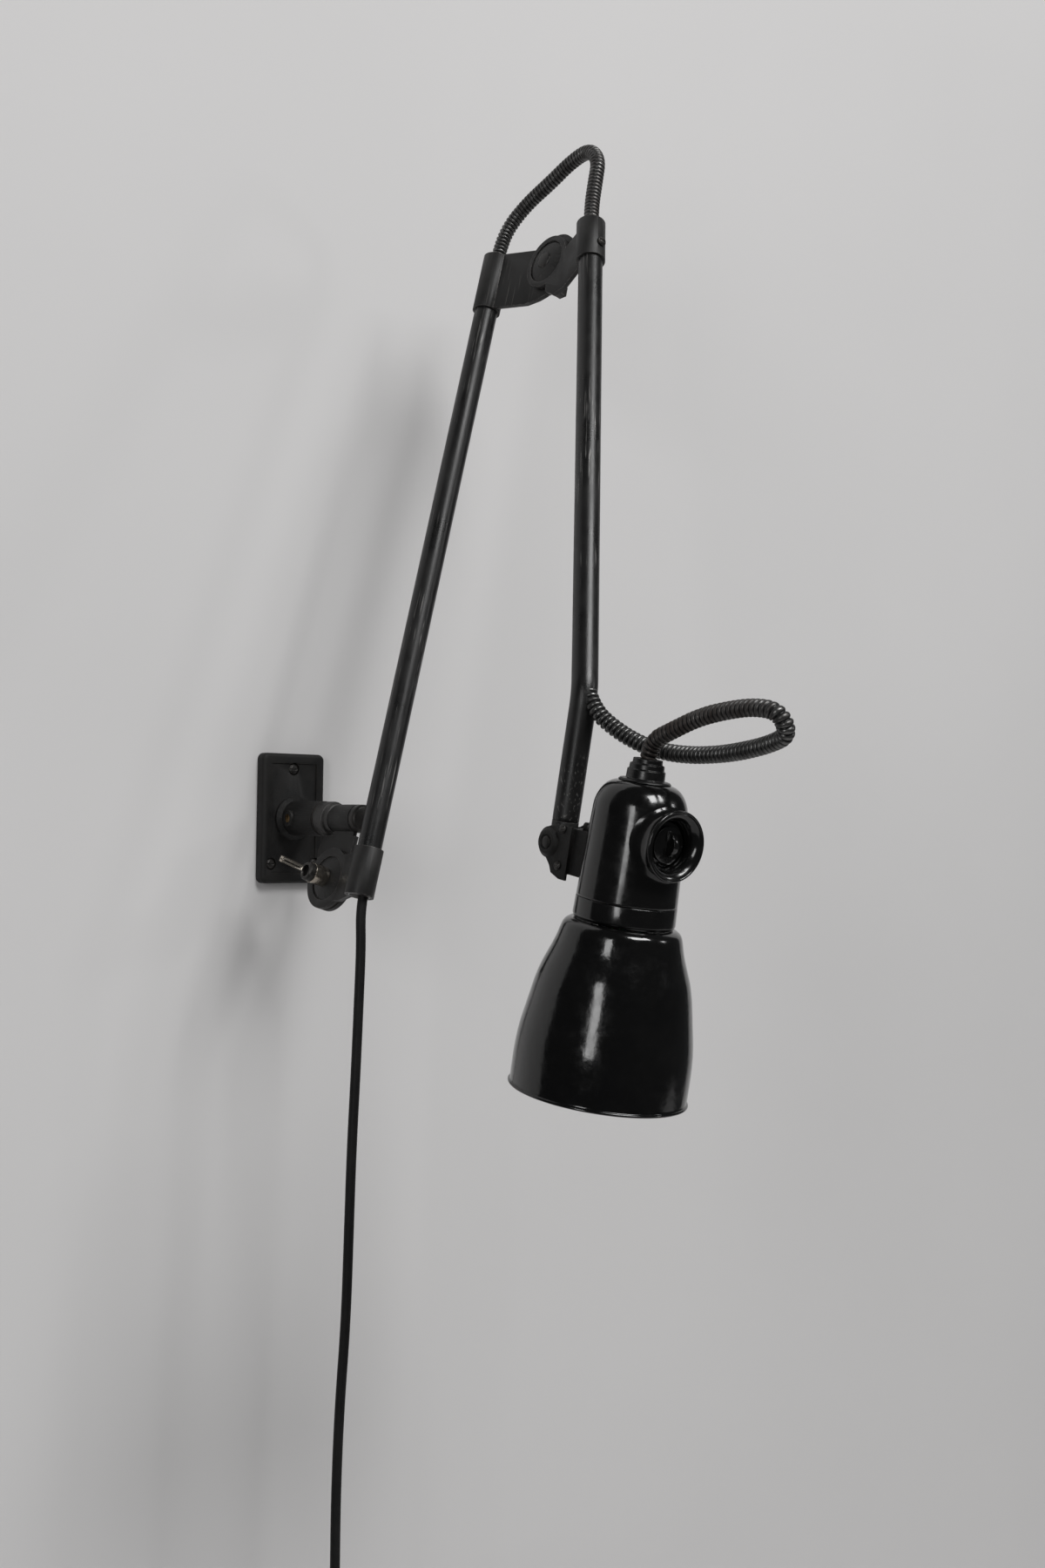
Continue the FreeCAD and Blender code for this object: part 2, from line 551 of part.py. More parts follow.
def tilt_joint(place):
    """Lug block, two cheeks, washers, pin and nut that carry the head on the tube's knuckle."""
    cheek_in = knuckle_half + 0.8
    block_near, block_far = -8.2, -head_offset + head_radius_seam - 1.2
    lug_foot, lug_top = -16.0, 11.0
    block = box(Vector(-cheek_in, cheek_edge, lug_foot), Vector(cheek_in, block_near, lug_top))
    block = block.fuse(box(Vector(-8.0, block_far, lug_foot), Vector(8.0, cheek_edge, lug_top)))
    block = block.cut(Part.makeCylinder(knuckle_radius + 0.6, 40, Vector(-20, 0, 0), X))
    for lean in range(0, tilt_limit + 1, 4):
        neck = Part.makeCylinder(tube_radius + 0.6, 40)
        block = block.cut(put(neck, FreeCAD.Placement(ORIGIN, FreeCAD.Rotation(X, lean))))
    block = block.cut(Part.makeCylinder(head_radius_seam + 0.3, 60, Vector(0, -head_offset, -30)))
    for level in cheek_screw_levels:
        block = block.cut(Part.makeCylinder(1.65, 40, Vector(-20, cheek_screw_y, level), X))
    for level in lug_screw_levels:
        block = block.cut(Part.makeCylinder(2.0, 20, Vector(0, block_far - 1, level), Y))
    save("head_lug", put(block.removeSplitter(), place))
    knob = turning([(0, 0), (3.2, 0), (3.2, 3.4), (2.4, 4.5), (0, 4.5)], Z, Vector(0, -21.0, lug_top))
    save("lug_knob", put(knob, place))
    cheeks, screws, washers = [], [], []
    pin_bore = tilt_pin_radius + 0.05
    for side in (-1, 1):
        start = Vector(side * cheek_in, 0, 0)
        outline = [(1.6, 9.2), (-3.6, 10.6), (-6.0, cheek_top), (cheek_edge, cheek_top), (cheek_edge, cheek_foot),
                   (-13.0, cheek_foot), (-5.6, -17.2), (-3.2, -13.0), (0.6, -9.3)]
        plate = prism([start + Vector(0, y, z) for y, z in outline], X * side * sheet)
        plate = plate.fuse(Part.makeCylinder(cheek_cup, sheet, start, X * side))
        plate = plate.cut(Part.makeCylinder(cheek_cup - 1.9, sheet, start, X * side))
        dome = turning([(cheek_cup - 1.9, 0), (cheek_cup - 0.4, 0), (cheek_cup - 0.7, 2.0), (cheek_cup - 2.4, 3.8),
                        (4.9, 4.2), (3.9, 3.2), (pin_bore, 3.2), (pin_bore, 1.6), (4.9, 1.9),
                        (cheek_cup - 2.6, 1.5)], X * side, start)
        plate = plate.fuse(dome)
        for level in cheek_screw_levels:
            hole_at = start + Vector(0, cheek_screw_y, level)
            plate = plate.cut(Part.makeCylinder(1.65, sheet, hole_at, X * side))
            screws.append(pan_screw(hole_at + X * side * sheet, X * side, 2.7, 1.5, 1.6, 5.0))
        cheeks.append(plate.removeSplitter())
        washers.append(sleeve(6.8, pin_bore, Vector(side * knuckle_half, 0, 0), start))
    for name, cheek in zip(("head_cheek_near", "head_cheek_far"), cheeks):
        save(name, put(cheek, place))
    save("cheek_screws", put(Part.makeCompound(screws), place))
    save("tilt_washers", put(Part.makeCompound(washers), place))
    outer = cheek_in + 3.25
    pin = rod(tilt_pin_radius, Vector(-outer - 0.4, 0, 0), Vector(outer + 7.0, 0, 0))
    pin = pin.fuse(turning([(0, 0), (3.7, 0), (3.4, 0.7), (1.6, 1.1), (0, 1.1)], -X, Vector(-outer, 0, 0)))
    save("tilt_bolt", put(pin.removeSplitter(), place))
    nut_seat = cheek_in + 4.25
    nut_points = [Vector(nut_seat, 5.6 * math.cos(math.radians(60 * k)), 5.6 * math.sin(math.radians(60 * k)))
                  for k in range(6)]
    nut = prism(nut_points, X * 4.6).cut(rod(tilt_pin_radius, Vector(nut_seat - 1, 0, 0), Vector(nut_seat + 9, 0, 0)))
    save("tilt_nut", put(nut, place))


def switch_way():
    """The switch cup looks out in front of the head, turned a little towards the lever side."""
    return turned(-Y, Z, switch_yaw)


def head_casing(place):
    centre_y = -head_offset
    shoulder = [(17.0, gland_base - 0.5), (21.5, gland_base - 3.6), (24.9, gland_base - 8.4),
                (26.7, shoulder_level + 1.0), (head_radius_top, shoulder_level - 4.0)]
    outside = [(5.0, gland_base), (12.5, gland_base)] + shoulder + [(head_radius_seam, seam_level)]
    inside = [(head_radius_seam - head_wall, seam_level), (head_radius_top - head_wall, shoulder_level - 5.0),
              (21.5, gland_base - 9.0), (15.0, gland_base - 4.6), (5.0, gland_base - 4.0)]
    shell = head_turning(outside + inside)
    cup_root, neck = 24.5, 13.4
    flare_out = [(neck + 2.4, cup_root), (neck + 2.0, 29.0), (neck + 3.2, 31.8), (neck + 5.4, 34.6),
                 (cup_rim_radius, switch_reach)]
    flare_in = [(cup_rim_radius - 2.2, switch_reach), (neck + 2.9, 34.4), (neck + 0.9, 31.6), (neck, 28.8),
                (neck, cup_root)]
    flare = turning(flare_out + flare_in, switch_way(), Vector(0, centre_y, switch_level))
    core = Part.makeCylinder(head_radius_top - head_wall, 70, Vector(0, centre_y, -20))
    bore = Part.makeCylinder(neck, 40, Vector(0, centre_y, switch_level) + switch_way() * 15, switch_way())
    shell = shell.cut(bore).fuse(flare.cut(core))
    for z in lug_screw_levels:
        shell = shell.cut(Part.makeCylinder(2.1, 20, Vector(0, centre_y + 20, z), Y))
    save("head_shell", put(shell.removeSplitter(), place))
    screws = [pan_screw(Vector(0, centre_y + head_radius_top - head_wall - 0.6, z), -Y, 3.4, 2.2, 1.95, 12.0)
              for z in lug_screw_levels]
    save("lug_screws", put(Part.makeCompound(screws), place))
    collar = head_turning([(head_radius_seam - 4.6, seam_level - 0.3), (head_radius_seam + 0.1, seam_level - 0.3),
                           (head_radius_seam + 0.5, collar_foot + 2.0), (head_radius_seam - 0.6, collar_foot),
                           (head_radius_seam - 4.6, collar_foot)])
    save("shade_collar", put(collar, place))
    gland = head_turning([(hose_bore, gland_base + 0.2), (11.0, gland_base + 0.2), (11.0, gland_base + 6.6),
                          (10.0, gland_base + 7.0), (10.0, gland_base + 9.9), (8.5, gland_base + 10.3),
                          (8.5, gland_top), (hose_valley + 0.1, gland_top), (hose_valley + 0.1, gland_top - 4.1),
                          (hose_bore, gland_top - 4.1)])
    gland = gland.fuse(sleeve(4.9, hose_bore, Vector(0, centre_y, gland_base - 8.5),
                              Vector(0, centre_y, gland_base + 0.2)))
    save("hose_gland", put(gland.removeSplitter(), place))
    nut = prism([Vector(8.6 * math.cos(math.radians(60 * k)), centre_y + 8.6 * math.sin(math.radians(60 * k)),
                        gland_base - 7.8) for k in range(6)], Z * 3.4)
    nut = nut.cut(Part.makeCylinder(4.95, 10, Vector(0, centre_y, gland_base - 10)))
    save("gland_nut", put(nut, place))


def switch_unit(place):
    at = Vector(0, -head_offset, switch_level)
    way = switch_way()
    body = turning([(0, 20.2), (12.6, 20.2), (12.6, 25.6), (5.05, 25.6), (5.05, 24.2), (0, 24.2)], way, at)
    save("switch_body", put(body, place))
    key = turning([(0, 24.3), (4.98, 24.3), (4.98, 26.4), (10.6, 26.4), (10.6, 28.0), (0, 28.4)], way, at)
    blade_radius, blade_thick = 7.4, 3.5
    blade = Part.makeCylinder(blade_radius, blade_thick, Vector(0, -blade_thick / 2, 27.4), Y)
    blade = blade.cut(box(Vector(-20, -5, 0), Vector(20, 5, 27.4)))
    blade = put(blade, frame(at, Z, way))
    save("switch_key", put(key.fuse(blade).removeSplitter(), place))


def lamp_parts(place):
    centre = Vector(0, -head_offset, 0)
    holder = head_turning([(0, 6.0), (19.0, 6.0), (19.0, -28.0), (16.6, -28.0), (16.6, 2.0), (0, 2.0)])
    save("lamp_holder", put(holder, place))
    shell = head_turning([(13.6, 1.0), (14.2, 1.0), (14.2, -25.5), (13.6, -25.5)])
    save("holder_thread_shell", put(shell, place))
    contact = box(centre + Vector(-3.0, -8.0, 1.0), centre + Vector(3.0, 6.0, 1.8))
    save("centre_contact", put(contact, place))
    cap = head_turning([(0, -0.6), (4.6, -0.6), (11.0, -2.4), (13.3, -4.0), (13.3, -30.0), (12.7, -30.0),
                        (12.7, -4.6), (0, -4.6)])
    save("bulb_cap", put(cap, place))
    outline = [(12.6, -22.0), (12.6, -31.0), (14.5, -38.0), (19.5, -52.0), (26.0, -65.0), (28.5, -79.0),
               (26.5, -91.0), (20.0, -101.0), (10.5, -106.5)]
    inside = [(radius - glass_wall, height + 0.3) for radius, height in reversed(outline)]
    glass = head_turning(outline + [(0, -108.0), (0, -108.0 + glass_wall)] + inside)
    save("bulb_glass", put(glass, place))


def shade(place):
    outline = [(30.2, collar_foot - 0.3), (31.2, collar_foot - 0.6), (33.6, collar_foot - 2.8),
               (35.2, collar_foot - 6.5), (36.8, collar_foot - 12.5), (39.6, collar_foot - 20.5),
               (43.3, collar_foot - 30.5), (47.7, collar_foot - 51.0), (50.7, collar_foot - 69.5),
               (51.1, collar_foot - 87.5), (rim_radius, rim_level + 2.4), (rim_radius + 0.5, rim_level + 1.2),
               (rim_radius, rim_level)]
    inside = [(rim_radius - shade_wall, rim_level + 1.0)]
    inside += [(radius - shade_wall, height) for radius, height in reversed(outline[2:10])]
    inside += [(29.5, collar_foot - 1.4), (19.4, collar_foot - 1.4), (19.4, collar_foot - 0.3)]
    save("shade", put(head_turning(outline + inside), place))
    ring = head_turning([(17.2, collar_foot - 1.8), (25.0, collar_foot - 1.8), (25.0, collar_foot - 5.4),
                         (17.2, collar_foot - 5.4)])
    save("shade_ring", put(ring, place))


# ---- hoses, cables and the mains cord ----

def flexible_parts(lower_foot_at, lower_way):
    elbow_route = route(elbow_points(), "elbow hose")
    save("elbow_hose", ribbed_hose(elbow_route, elbow_rib))
    loop_route = route(loop_points(), "loop hose")
    save("loop_hose", ribbed_hose(loop_route, loop_rib))
    inner = [lower_foot_at + lower_way * bush_length] + elbow_points()[1:]
    save("arm_cable", swept(route(inner, "arm cable"), cable_radius))
    upper_end, bend = arm(upper_across, *upper_head), arm(upper_across, *upper_bend_at)
    upper_way = (upper_end - bend).normalize()
    up = head_turn(Z)
    inner = [bend + upper_way * ((upper_end - bend).Length - 18.5)] + loop_points()[:-1]
    inner += [gland_seat() - up * 22.0]
    save("head_cable", swept(route(inner, "head cable"), cable_radius))
    start = lower_foot_at + lower_way * bush_length
    cord_route = [start, lower_foot_at - lower_way * 7.0, Vector(-27.6, -130.8, -82), Vector(-28.5, -130.5, -118),
                  Vector(-29.6, -130, -162),
                  Vector(-31.5, -129.5, -212), Vector(-32.4, -129.2, -266), Vector(-33.4, -129, -322),
                  Vector(-37.4, -129, -378), Vector(-39.0, -129, -434), Vector(-38.6, -129, -488),
                  Vector(-39.2, -129, coil_level + 22.0), Vector(-39.2, -129, coil_level)]
    wire = route(cord_route, "mains cord")
    save("mains_cord", swept(wire, cord_radius))
    coil(Vector(-39.2, -129, coil_level))


def biarc(p0, t0, p1, t1):
    """Two arcs that join p0 to p1 with the given end tangents."""
    chord = p1 - p0
    total = t0 + t1
    spread = 2 * (1 - t0.dot(t1))
    along = chord.dot(total)
    reach = (-along + math.sqrt(along**2 + spread * chord.dot(chord))) / spread
    joint = (p0 + t0 * reach + p1 - t1 * reach) * 0.5
    return [arc_from(p0, t0, joint), arc_from(p1, t1 * -1, joint)]


def arc_from(start, tangent, end):
    chord = end - start
    aside = tangent.cross(chord).cross(tangent).normalize()
    radius = chord.dot(chord) / (2 * chord.dot(aside))
    centre = start + aside * radius
    middle = centre + ((start - centre) + (end - centre)).normalize() * radius
    return Part.Arc(start, middle, end).toShape()


def coil(start):
    """The cord's spare length in steady turns side by side, hanging, with a straight tail to the plug."""
    straight = 2 * cord_radius
    top = start - Z * straight
    centre = top + X * coil_radius
    slope = coil_pitch / (2 * math.pi * coil_radius)

    def turn_point(quarters):
        angle = math.pi + quarters * math.pi / 2
        ring = Vector(math.cos(angle), 0, math.sin(angle))
        return centre + ring * coil_radius - Y * (coil_pitch * quarters / 4)

    def turn_way(quarters):
        angle = math.pi + quarters * math.pi / 2
        return Vector(-math.sin(angle), -slope, math.cos(angle)).normalize()

    quarters = 4 * coil_turns
    edges = [Part.LineSegment(start, top).toShape()]
    for quarter in range(quarters):
        first = -Z if quarter == 0 else turn_way(quarter)
        last = -Z if quarter == quarters - 1 else turn_way(quarter + 1)
        pair = biarc(turn_point(quarter), first, turn_point(quarter + 1), last)
        edges += pair
    end = turn_point(quarters)
    tail_end = end - Z * coil_tail
    edges.append(Part.LineSegment(end, tail_end).toShape())
    wire = Part.Wire(Part.__sortEdges__(edges))
    save("cord_coil", swept(wire, cord_radius))
    print(f"coil length {wire.Length:.0f}, {coil_turns} turns, {2 * coil_radius / (2 * cord_radius):.1f} diameters across")
    print(f"least gap between turns {least_gap(turn_point, quarters):.2f}")
    plug(tail_end)


def least_gap(turn_point, quarters):
    steps = 24
    points = [turn_point(k / steps) for k in range(quarters * steps + 1)]
    gap = min((points[a] - points[b]).Length for a in range(0, len(points), 6)
              for b in range(a + 3 * steps, len(points)))
    return gap - 2 * cord_radius


def plug(at):
    body = turning([(cord_radius + 0.05, 0), (5.6, 0), (6.4, 9.0), (plug_radius - 1.6, 14.0), (plug_radius, 17.0),
                    (plug_radius, plug_length), (0, plug_length), (0, 6.0), (cord_radius + 0.05, 6.0)], -Z, at + Z * 6.0)
    pins = []
    for side in (-1, 1):
        root = at + Z * 6.0 - Z * plug_length + X * (side * pin_spacing / 2)
        body = body.cut(Part.makeCylinder(pin_radius, 8.0, root + Z * 8.0, -Z))
        pins.append(rod(pin_radius, root + Z * 8.0, root - Z * pin_length))
    save("plug_body", body)
    save("plug_pins", Part.makeCompound(pins))


def build():
    wall_side()
    swivel()
    lever_nut()
    foot, way = lower_arm()
    elbow_joint()
    place = head_place(upper_arm())
    tilt_joint(place)
    head_casing(place)
    switch_unit(place)
    lamp_parts(place)
    shade(place)
    flexible_parts(foot, way)
    print(len(saved), "nodes")


build()
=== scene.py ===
import json
import math
import bpy
import bmesh
import numpy as np
from mathutils import Matrix, Vector

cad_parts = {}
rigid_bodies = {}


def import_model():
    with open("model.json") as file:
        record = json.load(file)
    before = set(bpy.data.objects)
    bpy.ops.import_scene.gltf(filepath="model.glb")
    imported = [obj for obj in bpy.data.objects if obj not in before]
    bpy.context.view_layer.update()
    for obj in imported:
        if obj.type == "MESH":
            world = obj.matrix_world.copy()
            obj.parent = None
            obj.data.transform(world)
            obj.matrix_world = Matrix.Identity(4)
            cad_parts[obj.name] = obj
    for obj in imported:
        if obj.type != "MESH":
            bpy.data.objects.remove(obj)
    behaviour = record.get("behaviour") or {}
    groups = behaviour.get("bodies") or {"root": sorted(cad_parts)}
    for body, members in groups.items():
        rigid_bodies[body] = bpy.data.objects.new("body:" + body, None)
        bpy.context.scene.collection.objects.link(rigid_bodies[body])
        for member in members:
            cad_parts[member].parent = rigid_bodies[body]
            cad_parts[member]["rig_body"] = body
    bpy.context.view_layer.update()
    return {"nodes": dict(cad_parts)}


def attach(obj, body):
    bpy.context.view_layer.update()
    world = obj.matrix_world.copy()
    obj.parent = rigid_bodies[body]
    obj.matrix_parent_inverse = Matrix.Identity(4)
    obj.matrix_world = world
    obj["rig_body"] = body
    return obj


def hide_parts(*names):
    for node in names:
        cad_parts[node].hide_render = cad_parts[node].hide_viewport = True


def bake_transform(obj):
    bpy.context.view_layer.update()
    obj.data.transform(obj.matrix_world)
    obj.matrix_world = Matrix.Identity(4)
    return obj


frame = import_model()
nodes = frame["nodes"]
print("frame loaded", len(nodes), "nodes")

# the arm's leaning plane and the head's own frame, in millimetres and degrees
# a pair in the arm's plane is how far out from the wall and how high, and across is to its side
armPlane = {
    "lean": 16.45, "tubeRadius": 8.0, "tubeBore": 6.5, "lip": 0.5, "bendRadius": 34.0, "segments": 96,
    "lowerAcross": -13.25, "lowerFoot": (128.96, -56.3), "lowerHead": (98.5, 409.5), "lowerRows": 160,
    "upperAcross": -16.85, "upperHead": (201.1, 409.1), "upperBend": (308.0, 73.4),
    "upperRows": 120, "bendRows": 40, "neckRows": 30,
}
headFrame = {"tilt": 9.6, "sideLean": 1.8, "pivotRun": 89.6, "tubeAbovePivot": 13.0, "offset": 62.2}


def turnMatrix(axis, degrees):
    return np.array(Matrix.Rotation(math.radians(degrees), 3, axis))


leanTurn = turnMatrix("Y", armPlane["lean"])
headTurn = turnMatrix("Y", headFrame["sideLean"]) @ turnMatrix("X", headFrame["tilt"])


def armPoint(across, outward, up):  # millimetres in the arm's plane to metres in the part's frame
    return leanTurn @ np.array([across, -outward, up], float) / 1000


def unit(vector):
    vector = np.asarray(vector, float)
    return vector / np.linalg.norm(vector, axis=-1, keepdims=True)


upperBend = armPoint(armPlane["upperAcross"], *armPlane["upperBend"])
upperMouth = armPoint(armPlane["upperAcross"], *armPlane["upperHead"])
lowerFoot = armPoint(armPlane["lowerAcross"], *armPlane["lowerFoot"])
lowerMouth = armPoint(armPlane["lowerAcross"], *armPlane["lowerHead"])
lowerWay, upperWay = unit(lowerMouth - lowerFoot), unit(upperMouth - upperBend)
headUp = headTurn @ np.array([0, 0, 1.0])
pivot = upperBend - headUp * headFrame["pivotRun"] / 1000


def headPoint(x, y, z):  # millimetres from the pivot, in the head's frame, to metres in the part's frame
    return pivot + headTurn @ np.array([x, y, z], float) / 1000


headAxisFoot = headPoint(0, -headFrame["offset"], 0)


def placed(name, data):  # an object with this data, linked to the scene
    made = bpy.data.objects.new(name, data)
    bpy.context.scene.collection.objects.link(made)
    return made


cameraView = {
    "place": (-0.7744, -1.1825, -0.0076), "forward": (0.6418, 0.7665, 0.0244),
    "right": (0.7664, -0.6422, 0.0146), "lens": 45.686, "sensorHeight": 36.0, "farthest": 30,
}


def placeCamera(spec):  # right is squared to the view by taking away its share along it
    data = bpy.data.cameras.new("photoCamera")
    data.sensor_fit = "VERTICAL"
    data.sensor_height = spec["sensorHeight"]
    data.lens = spec["lens"]
    data.clip_end = spec["farthest"]
    camera = placed("photoCamera", data)
    back = -unit(spec["forward"])
    right = unit(np.array(spec["right"]) - back * np.dot(spec["right"], back))
    camera.matrix_world = Matrix.Translation(spec["place"]) @ Matrix(
        np.column_stack([right, np.cross(back, right), back]).tolist()).to_4x4()
    bpy.context.scene.camera = camera


placeCamera(cameraView)
print("camera placed")


def newPiece(name, points, faces, smooth=True):
    mesh = bpy.data.meshes.new(name)
    mesh.from_pydata(np.asarray(points).reshape(-1, 3).tolist(), [], faces)
    mesh.polygons.foreach_set("use_smooth", np.full(len(mesh.polygons), smooth))
    mesh.update()
    return placed(name, mesh)


def gridFaces(rows, columns, closeRows=False):
    # quads between neighbouring rows of a grid whose columns close round, and whose rows may
    i, j = np.meshgrid(np.arange(rows if closeRows else rows - 1), np.arange(columns), indexing="ij")
    k, m = (i + 1) % rows, (j + 1) % columns
    quads = np.stack([i * columns + j, i * columns + m, k * columns + m, k * columns + j], axis=-1)
    return quads.reshape(-1, 4)


def spline(points, count):
    # a natural cubic over the chord length: the bends at the points solve one linear system, and each
    # span is the cubic that its two ends and their bends give, sampled at count even lengths
    points = np.asarray(points, float)
    chord = np.r_[0, np.cumsum(np.linalg.norm(np.diff(points, axis=0), axis=1))]
    n = len(chord)
    h = np.diff(chord)
    system, known = np.eye(n), np.zeros((n, points.shape[1]))
    k = np.arange(1, n - 1)
    system[k, k - 1], system[k, k], system[k, k + 1] = h[:-1], 2 * (h[:-1] + h[1:]), h[1:]
    slopes = np.diff(points, axis=0) / h[:, None]
    known[1:-1] = 6 * np.diff(slopes, axis=0)
    bend = np.linalg.solve(system, known)
    at = np.linspace(0, chord[-1], count)
    s = np.clip(np.searchsorted(chord, at, side="right") - 1, 0, n - 2)
    a, b, w = (chord[s + 1] - at)[:, None], (at - chord[s])[:, None], h[s][:, None]
    return ((bend[s] * a**3 + bend[s + 1] * b**3) / (6 * w) + (points[s] / w - bend[s] * w / 6) * a
            + (points[s + 1] / w - bend[s + 1] * w / 6) * b)


def rounded(points, bend, steps=4):
    # each corner becomes a short quadratic curve that starts and ends bend away from it
    points = np.asarray(points, float)
    before, corner, after = points[:-2], points[1:-1], points[2:]
    back, ahead = before - corner, after - corner
    lengthBack = np.linalg.norm(back, axis=1, keepdims=True)
    lengthAhead = np.linalg.norm(ahead, axis=1, keepdims=True)
    most = 0.45  # of the side, so neighbouring corners don't meet
    start = corner + back / lengthBack * np.minimum(bend, most * lengthBack)
    end = corner + ahead / lengthAhead * np.minimum(bend, most * lengthAhead)
    t = np.linspace(0, 1, steps + 1)[None, :, None]
    curves = start[:, None] * (1 - t)**2 + 2 * corner[:, None] * t * (1 - t) + end[:, None] * t**2
    return np.vstack([points[:1], curves.reshape(-1, points.shape[1]), points[-1:]])


offAxis = (0.3, 1.0, 0.2)  # a way well off every axis used, that sets where the rings start


def revolve(name, profile, centre, axis, segments, closed=True):
    # centre + height * axis + radius * (cos of the angle * aside + sin of it * other)
    profile = np.asarray(profile, float) / 1000
    axis = unit(axis)
    aside = unit(np.cross(axis, offAxis))
    other = np.cross(axis, aside)
    angle = np.linspace(0, 2 * math.pi, segments, endpoint=False)
    ring = np.cos(angle)[:, None] * aside + np.sin(angle)[:, None] * other
    points = centre + profile[:, None, 1:] * axis + profile[:, None, :1] * ring
    faces = gridFaces(len(profile), segments, closeRows=closed)
    return outward(newPiece(name, points, faces.tolist()))


def outward(piece, merge=2e-6):  # doubles merged within that distance, faces turned outwards
    work = bmesh.new()
    work.from_mesh(piece.data)
    if merge:
        bmesh.ops.remove_doubles(work, verts=work.verts, dist=merge)
    bmesh.ops.recalc_face_normals(work, faces=work.faces)
    work.to_mesh(piece.data)
    work.free()
    return piece


def pathFrames(path, reference):
    # tangent from the points on each side, aside = tangent x reference, other = tangent x aside
    tangent = unit(np.gradient(path, axis=0))
    aside = unit(np.cross(tangent, reference))
    return tangent, aside, np.cross(tangent, aside)


def evenPath(path, count):  # count points at even lengths along the path, and those lengths
    length = np.r_[0, np.cumsum(np.linalg.norm(np.diff(path, axis=0), axis=1))]
    at = np.linspace(0, length[-1], count)
    return np.stack([np.interp(at, length, path[:, k]) for k in range(3)], axis=1), at


def ringAt(aside, other, segments):  # cos of the angle * aside + sin of the angle * other, at each row
    angle = np.linspace(0, 2 * math.pi, segments, endpoint=False)
    return np.cos(angle)[None, :, None] * aside[:, None] + np.sin(angle)[None, :, None] * other[:, None]


def cornersOf(mesh):
    found = np.empty(len(mesh.vertices) * 3)
    mesh.vertices.foreach_get("co", found)
    return found.reshape(-1, 3)


def attribute(piece, name, values):
    layer = piece.data.attributes.new(name, "FLOAT", "POINT")
    layer.data.foreach_set("value", np.asarray(values, np.float32).ravel())


scratchMake = {"across": 900, "along": 26}  # noise cells to the metre, so the lines run long


def streaked(piece, way):
    # each point's reach across the way in two directions and along it, each times its cells to the metre
    points = cornersOf(piece.data)
    aside = unit(np.cross(way, [0, 1.0, 0]))
    other = np.cross(way, aside)
    across, along = scratchMake["across"], scratchMake["along"]
    drawn = np.stack([points @ aside * across, points @ other * across, points @ way * along], axis=1)
    layer = piece.data.attributes.new("streak", "FLOAT_VECTOR", "POINT")
    layer.data.foreach_set("vector", drawn.astype(np.float32).ravel())


def nurbs(name, points, depth=0.0, steps=12):
    curve = bpy.data.curves.new(name, "CURVE")
    curve.dimensions = "3D"
    curve.resolution_u = steps
    curve.bevel_depth = depth
    curve.bevel_resolution = 6
    curve.use_fill_caps = True
    line = curve.splines.new("NURBS")
    line.points.add(len(points) - 1)
    flat = np.c_[np.asarray(points, float), np.ones(len(points))]
    line.points.foreach_set("co", flat.ravel())
    line.order_u = 3
    line.use_endpoint_u = True
    return placed(name, curve)


def pointsAlong(points):  # the points Blender gives for a spline with no bevel
    guide = nurbs("guide", points)
    bpy.context.view_layer.update()
    mesh = bpy.data.meshes.new_from_object(guide)
    found = cornersOf(mesh)
    bpy.data.objects.remove(guide)
    bpy.data.meshes.remove(mesh)
    return found


def finish(piece, material, body, *replaced):
    # its material and slot, the body it rides, and the solids it stands for
    piece.data.materials.clear()
    piece.data.materials.append(material)
    if body:
        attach(piece, body)
    if replaced:
        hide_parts(*replaced)
    return piece


def nodeGroup(name, inputs, outputs):  # a tuple or the word Colour makes a colour socket
    group = bpy.data.node_groups.new(name, "ShaderNodeTree")
    for label, value in inputs.items():
        kind = "NodeSocketColor" if isinstance(value, tuple) else "NodeSocketFloat"
        group.interface.new_socket(label, in_out="INPUT", socket_type=kind).default_value = value
    for label in outputs:
        kind = "NodeSocketColor" if label == "Colour" else "NodeSocketFloat"
        group.interface.new_socket(label, in_out="OUTPUT", socket_type=kind)
    return group, group.nodes.new("NodeGroupInput"), group.nodes.new("NodeGroupOutput")


def add(tree, kind, **settings):
    node = tree.nodes.new("ShaderNode" + kind)
    for label, value in settings.items():
        setattr(node, label, value)
    return node


def feed(tree, socket, entry):  # a number or colour is set on the socket, and an output is linked to it
    if isinstance(entry, (int, float, tuple)):
        socket.default_value = entry
    else:
        tree.links.new(entry, socket)


def noise(tree, vector, scale, detail=4.0, rough=0.55):
    node = add(tree, "TexNoise")
    for label, entry in (("Vector", vector), ("Scale", scale), ("Detail", detail), ("Roughness", rough)):
        feed(tree, node.inputs[label], entry)
    return node.outputs["Fac"]


def bumped(tree, height, strength, distance, surface):
    relief = add(tree, "Bump")
    relief.inputs["Strength"].default_value = strength
    relief.inputs["Distance"].default_value = distance
    tree.links.new(height, relief.inputs["Height"])
    tree.links.new(relief.outputs["Normal"], surface.inputs["Normal"])


def remap(tree, value, low, high, toLow=0.0, toHigh=1.0):
    node = add(tree, "MapRange")
    labels = ("Value", "From Min", "From Max", "To Min", "To Max")
    for label, entry in zip(labels, (value, low, high, toLow, toHigh)):
        feed(tree, node.inputs[label], entry)
    return node.outputs["Result"]


def maths(tree, operation, first, second):
    node = add(tree, "Math", operation=operation)
    feed(tree, node.inputs[0], first)
    feed(tree, node.inputs[1], second)
    return node.outputs[0]


def mixed(tree, factor, first, second):
    node = add(tree, "Mix", data_type="RGBA")
    for place, entry in ((0, factor), (6, first), (7, second)):  # 6 and 7 are its two colours
        feed(tree, node.inputs[place], entry)
    return node.outputs[2]


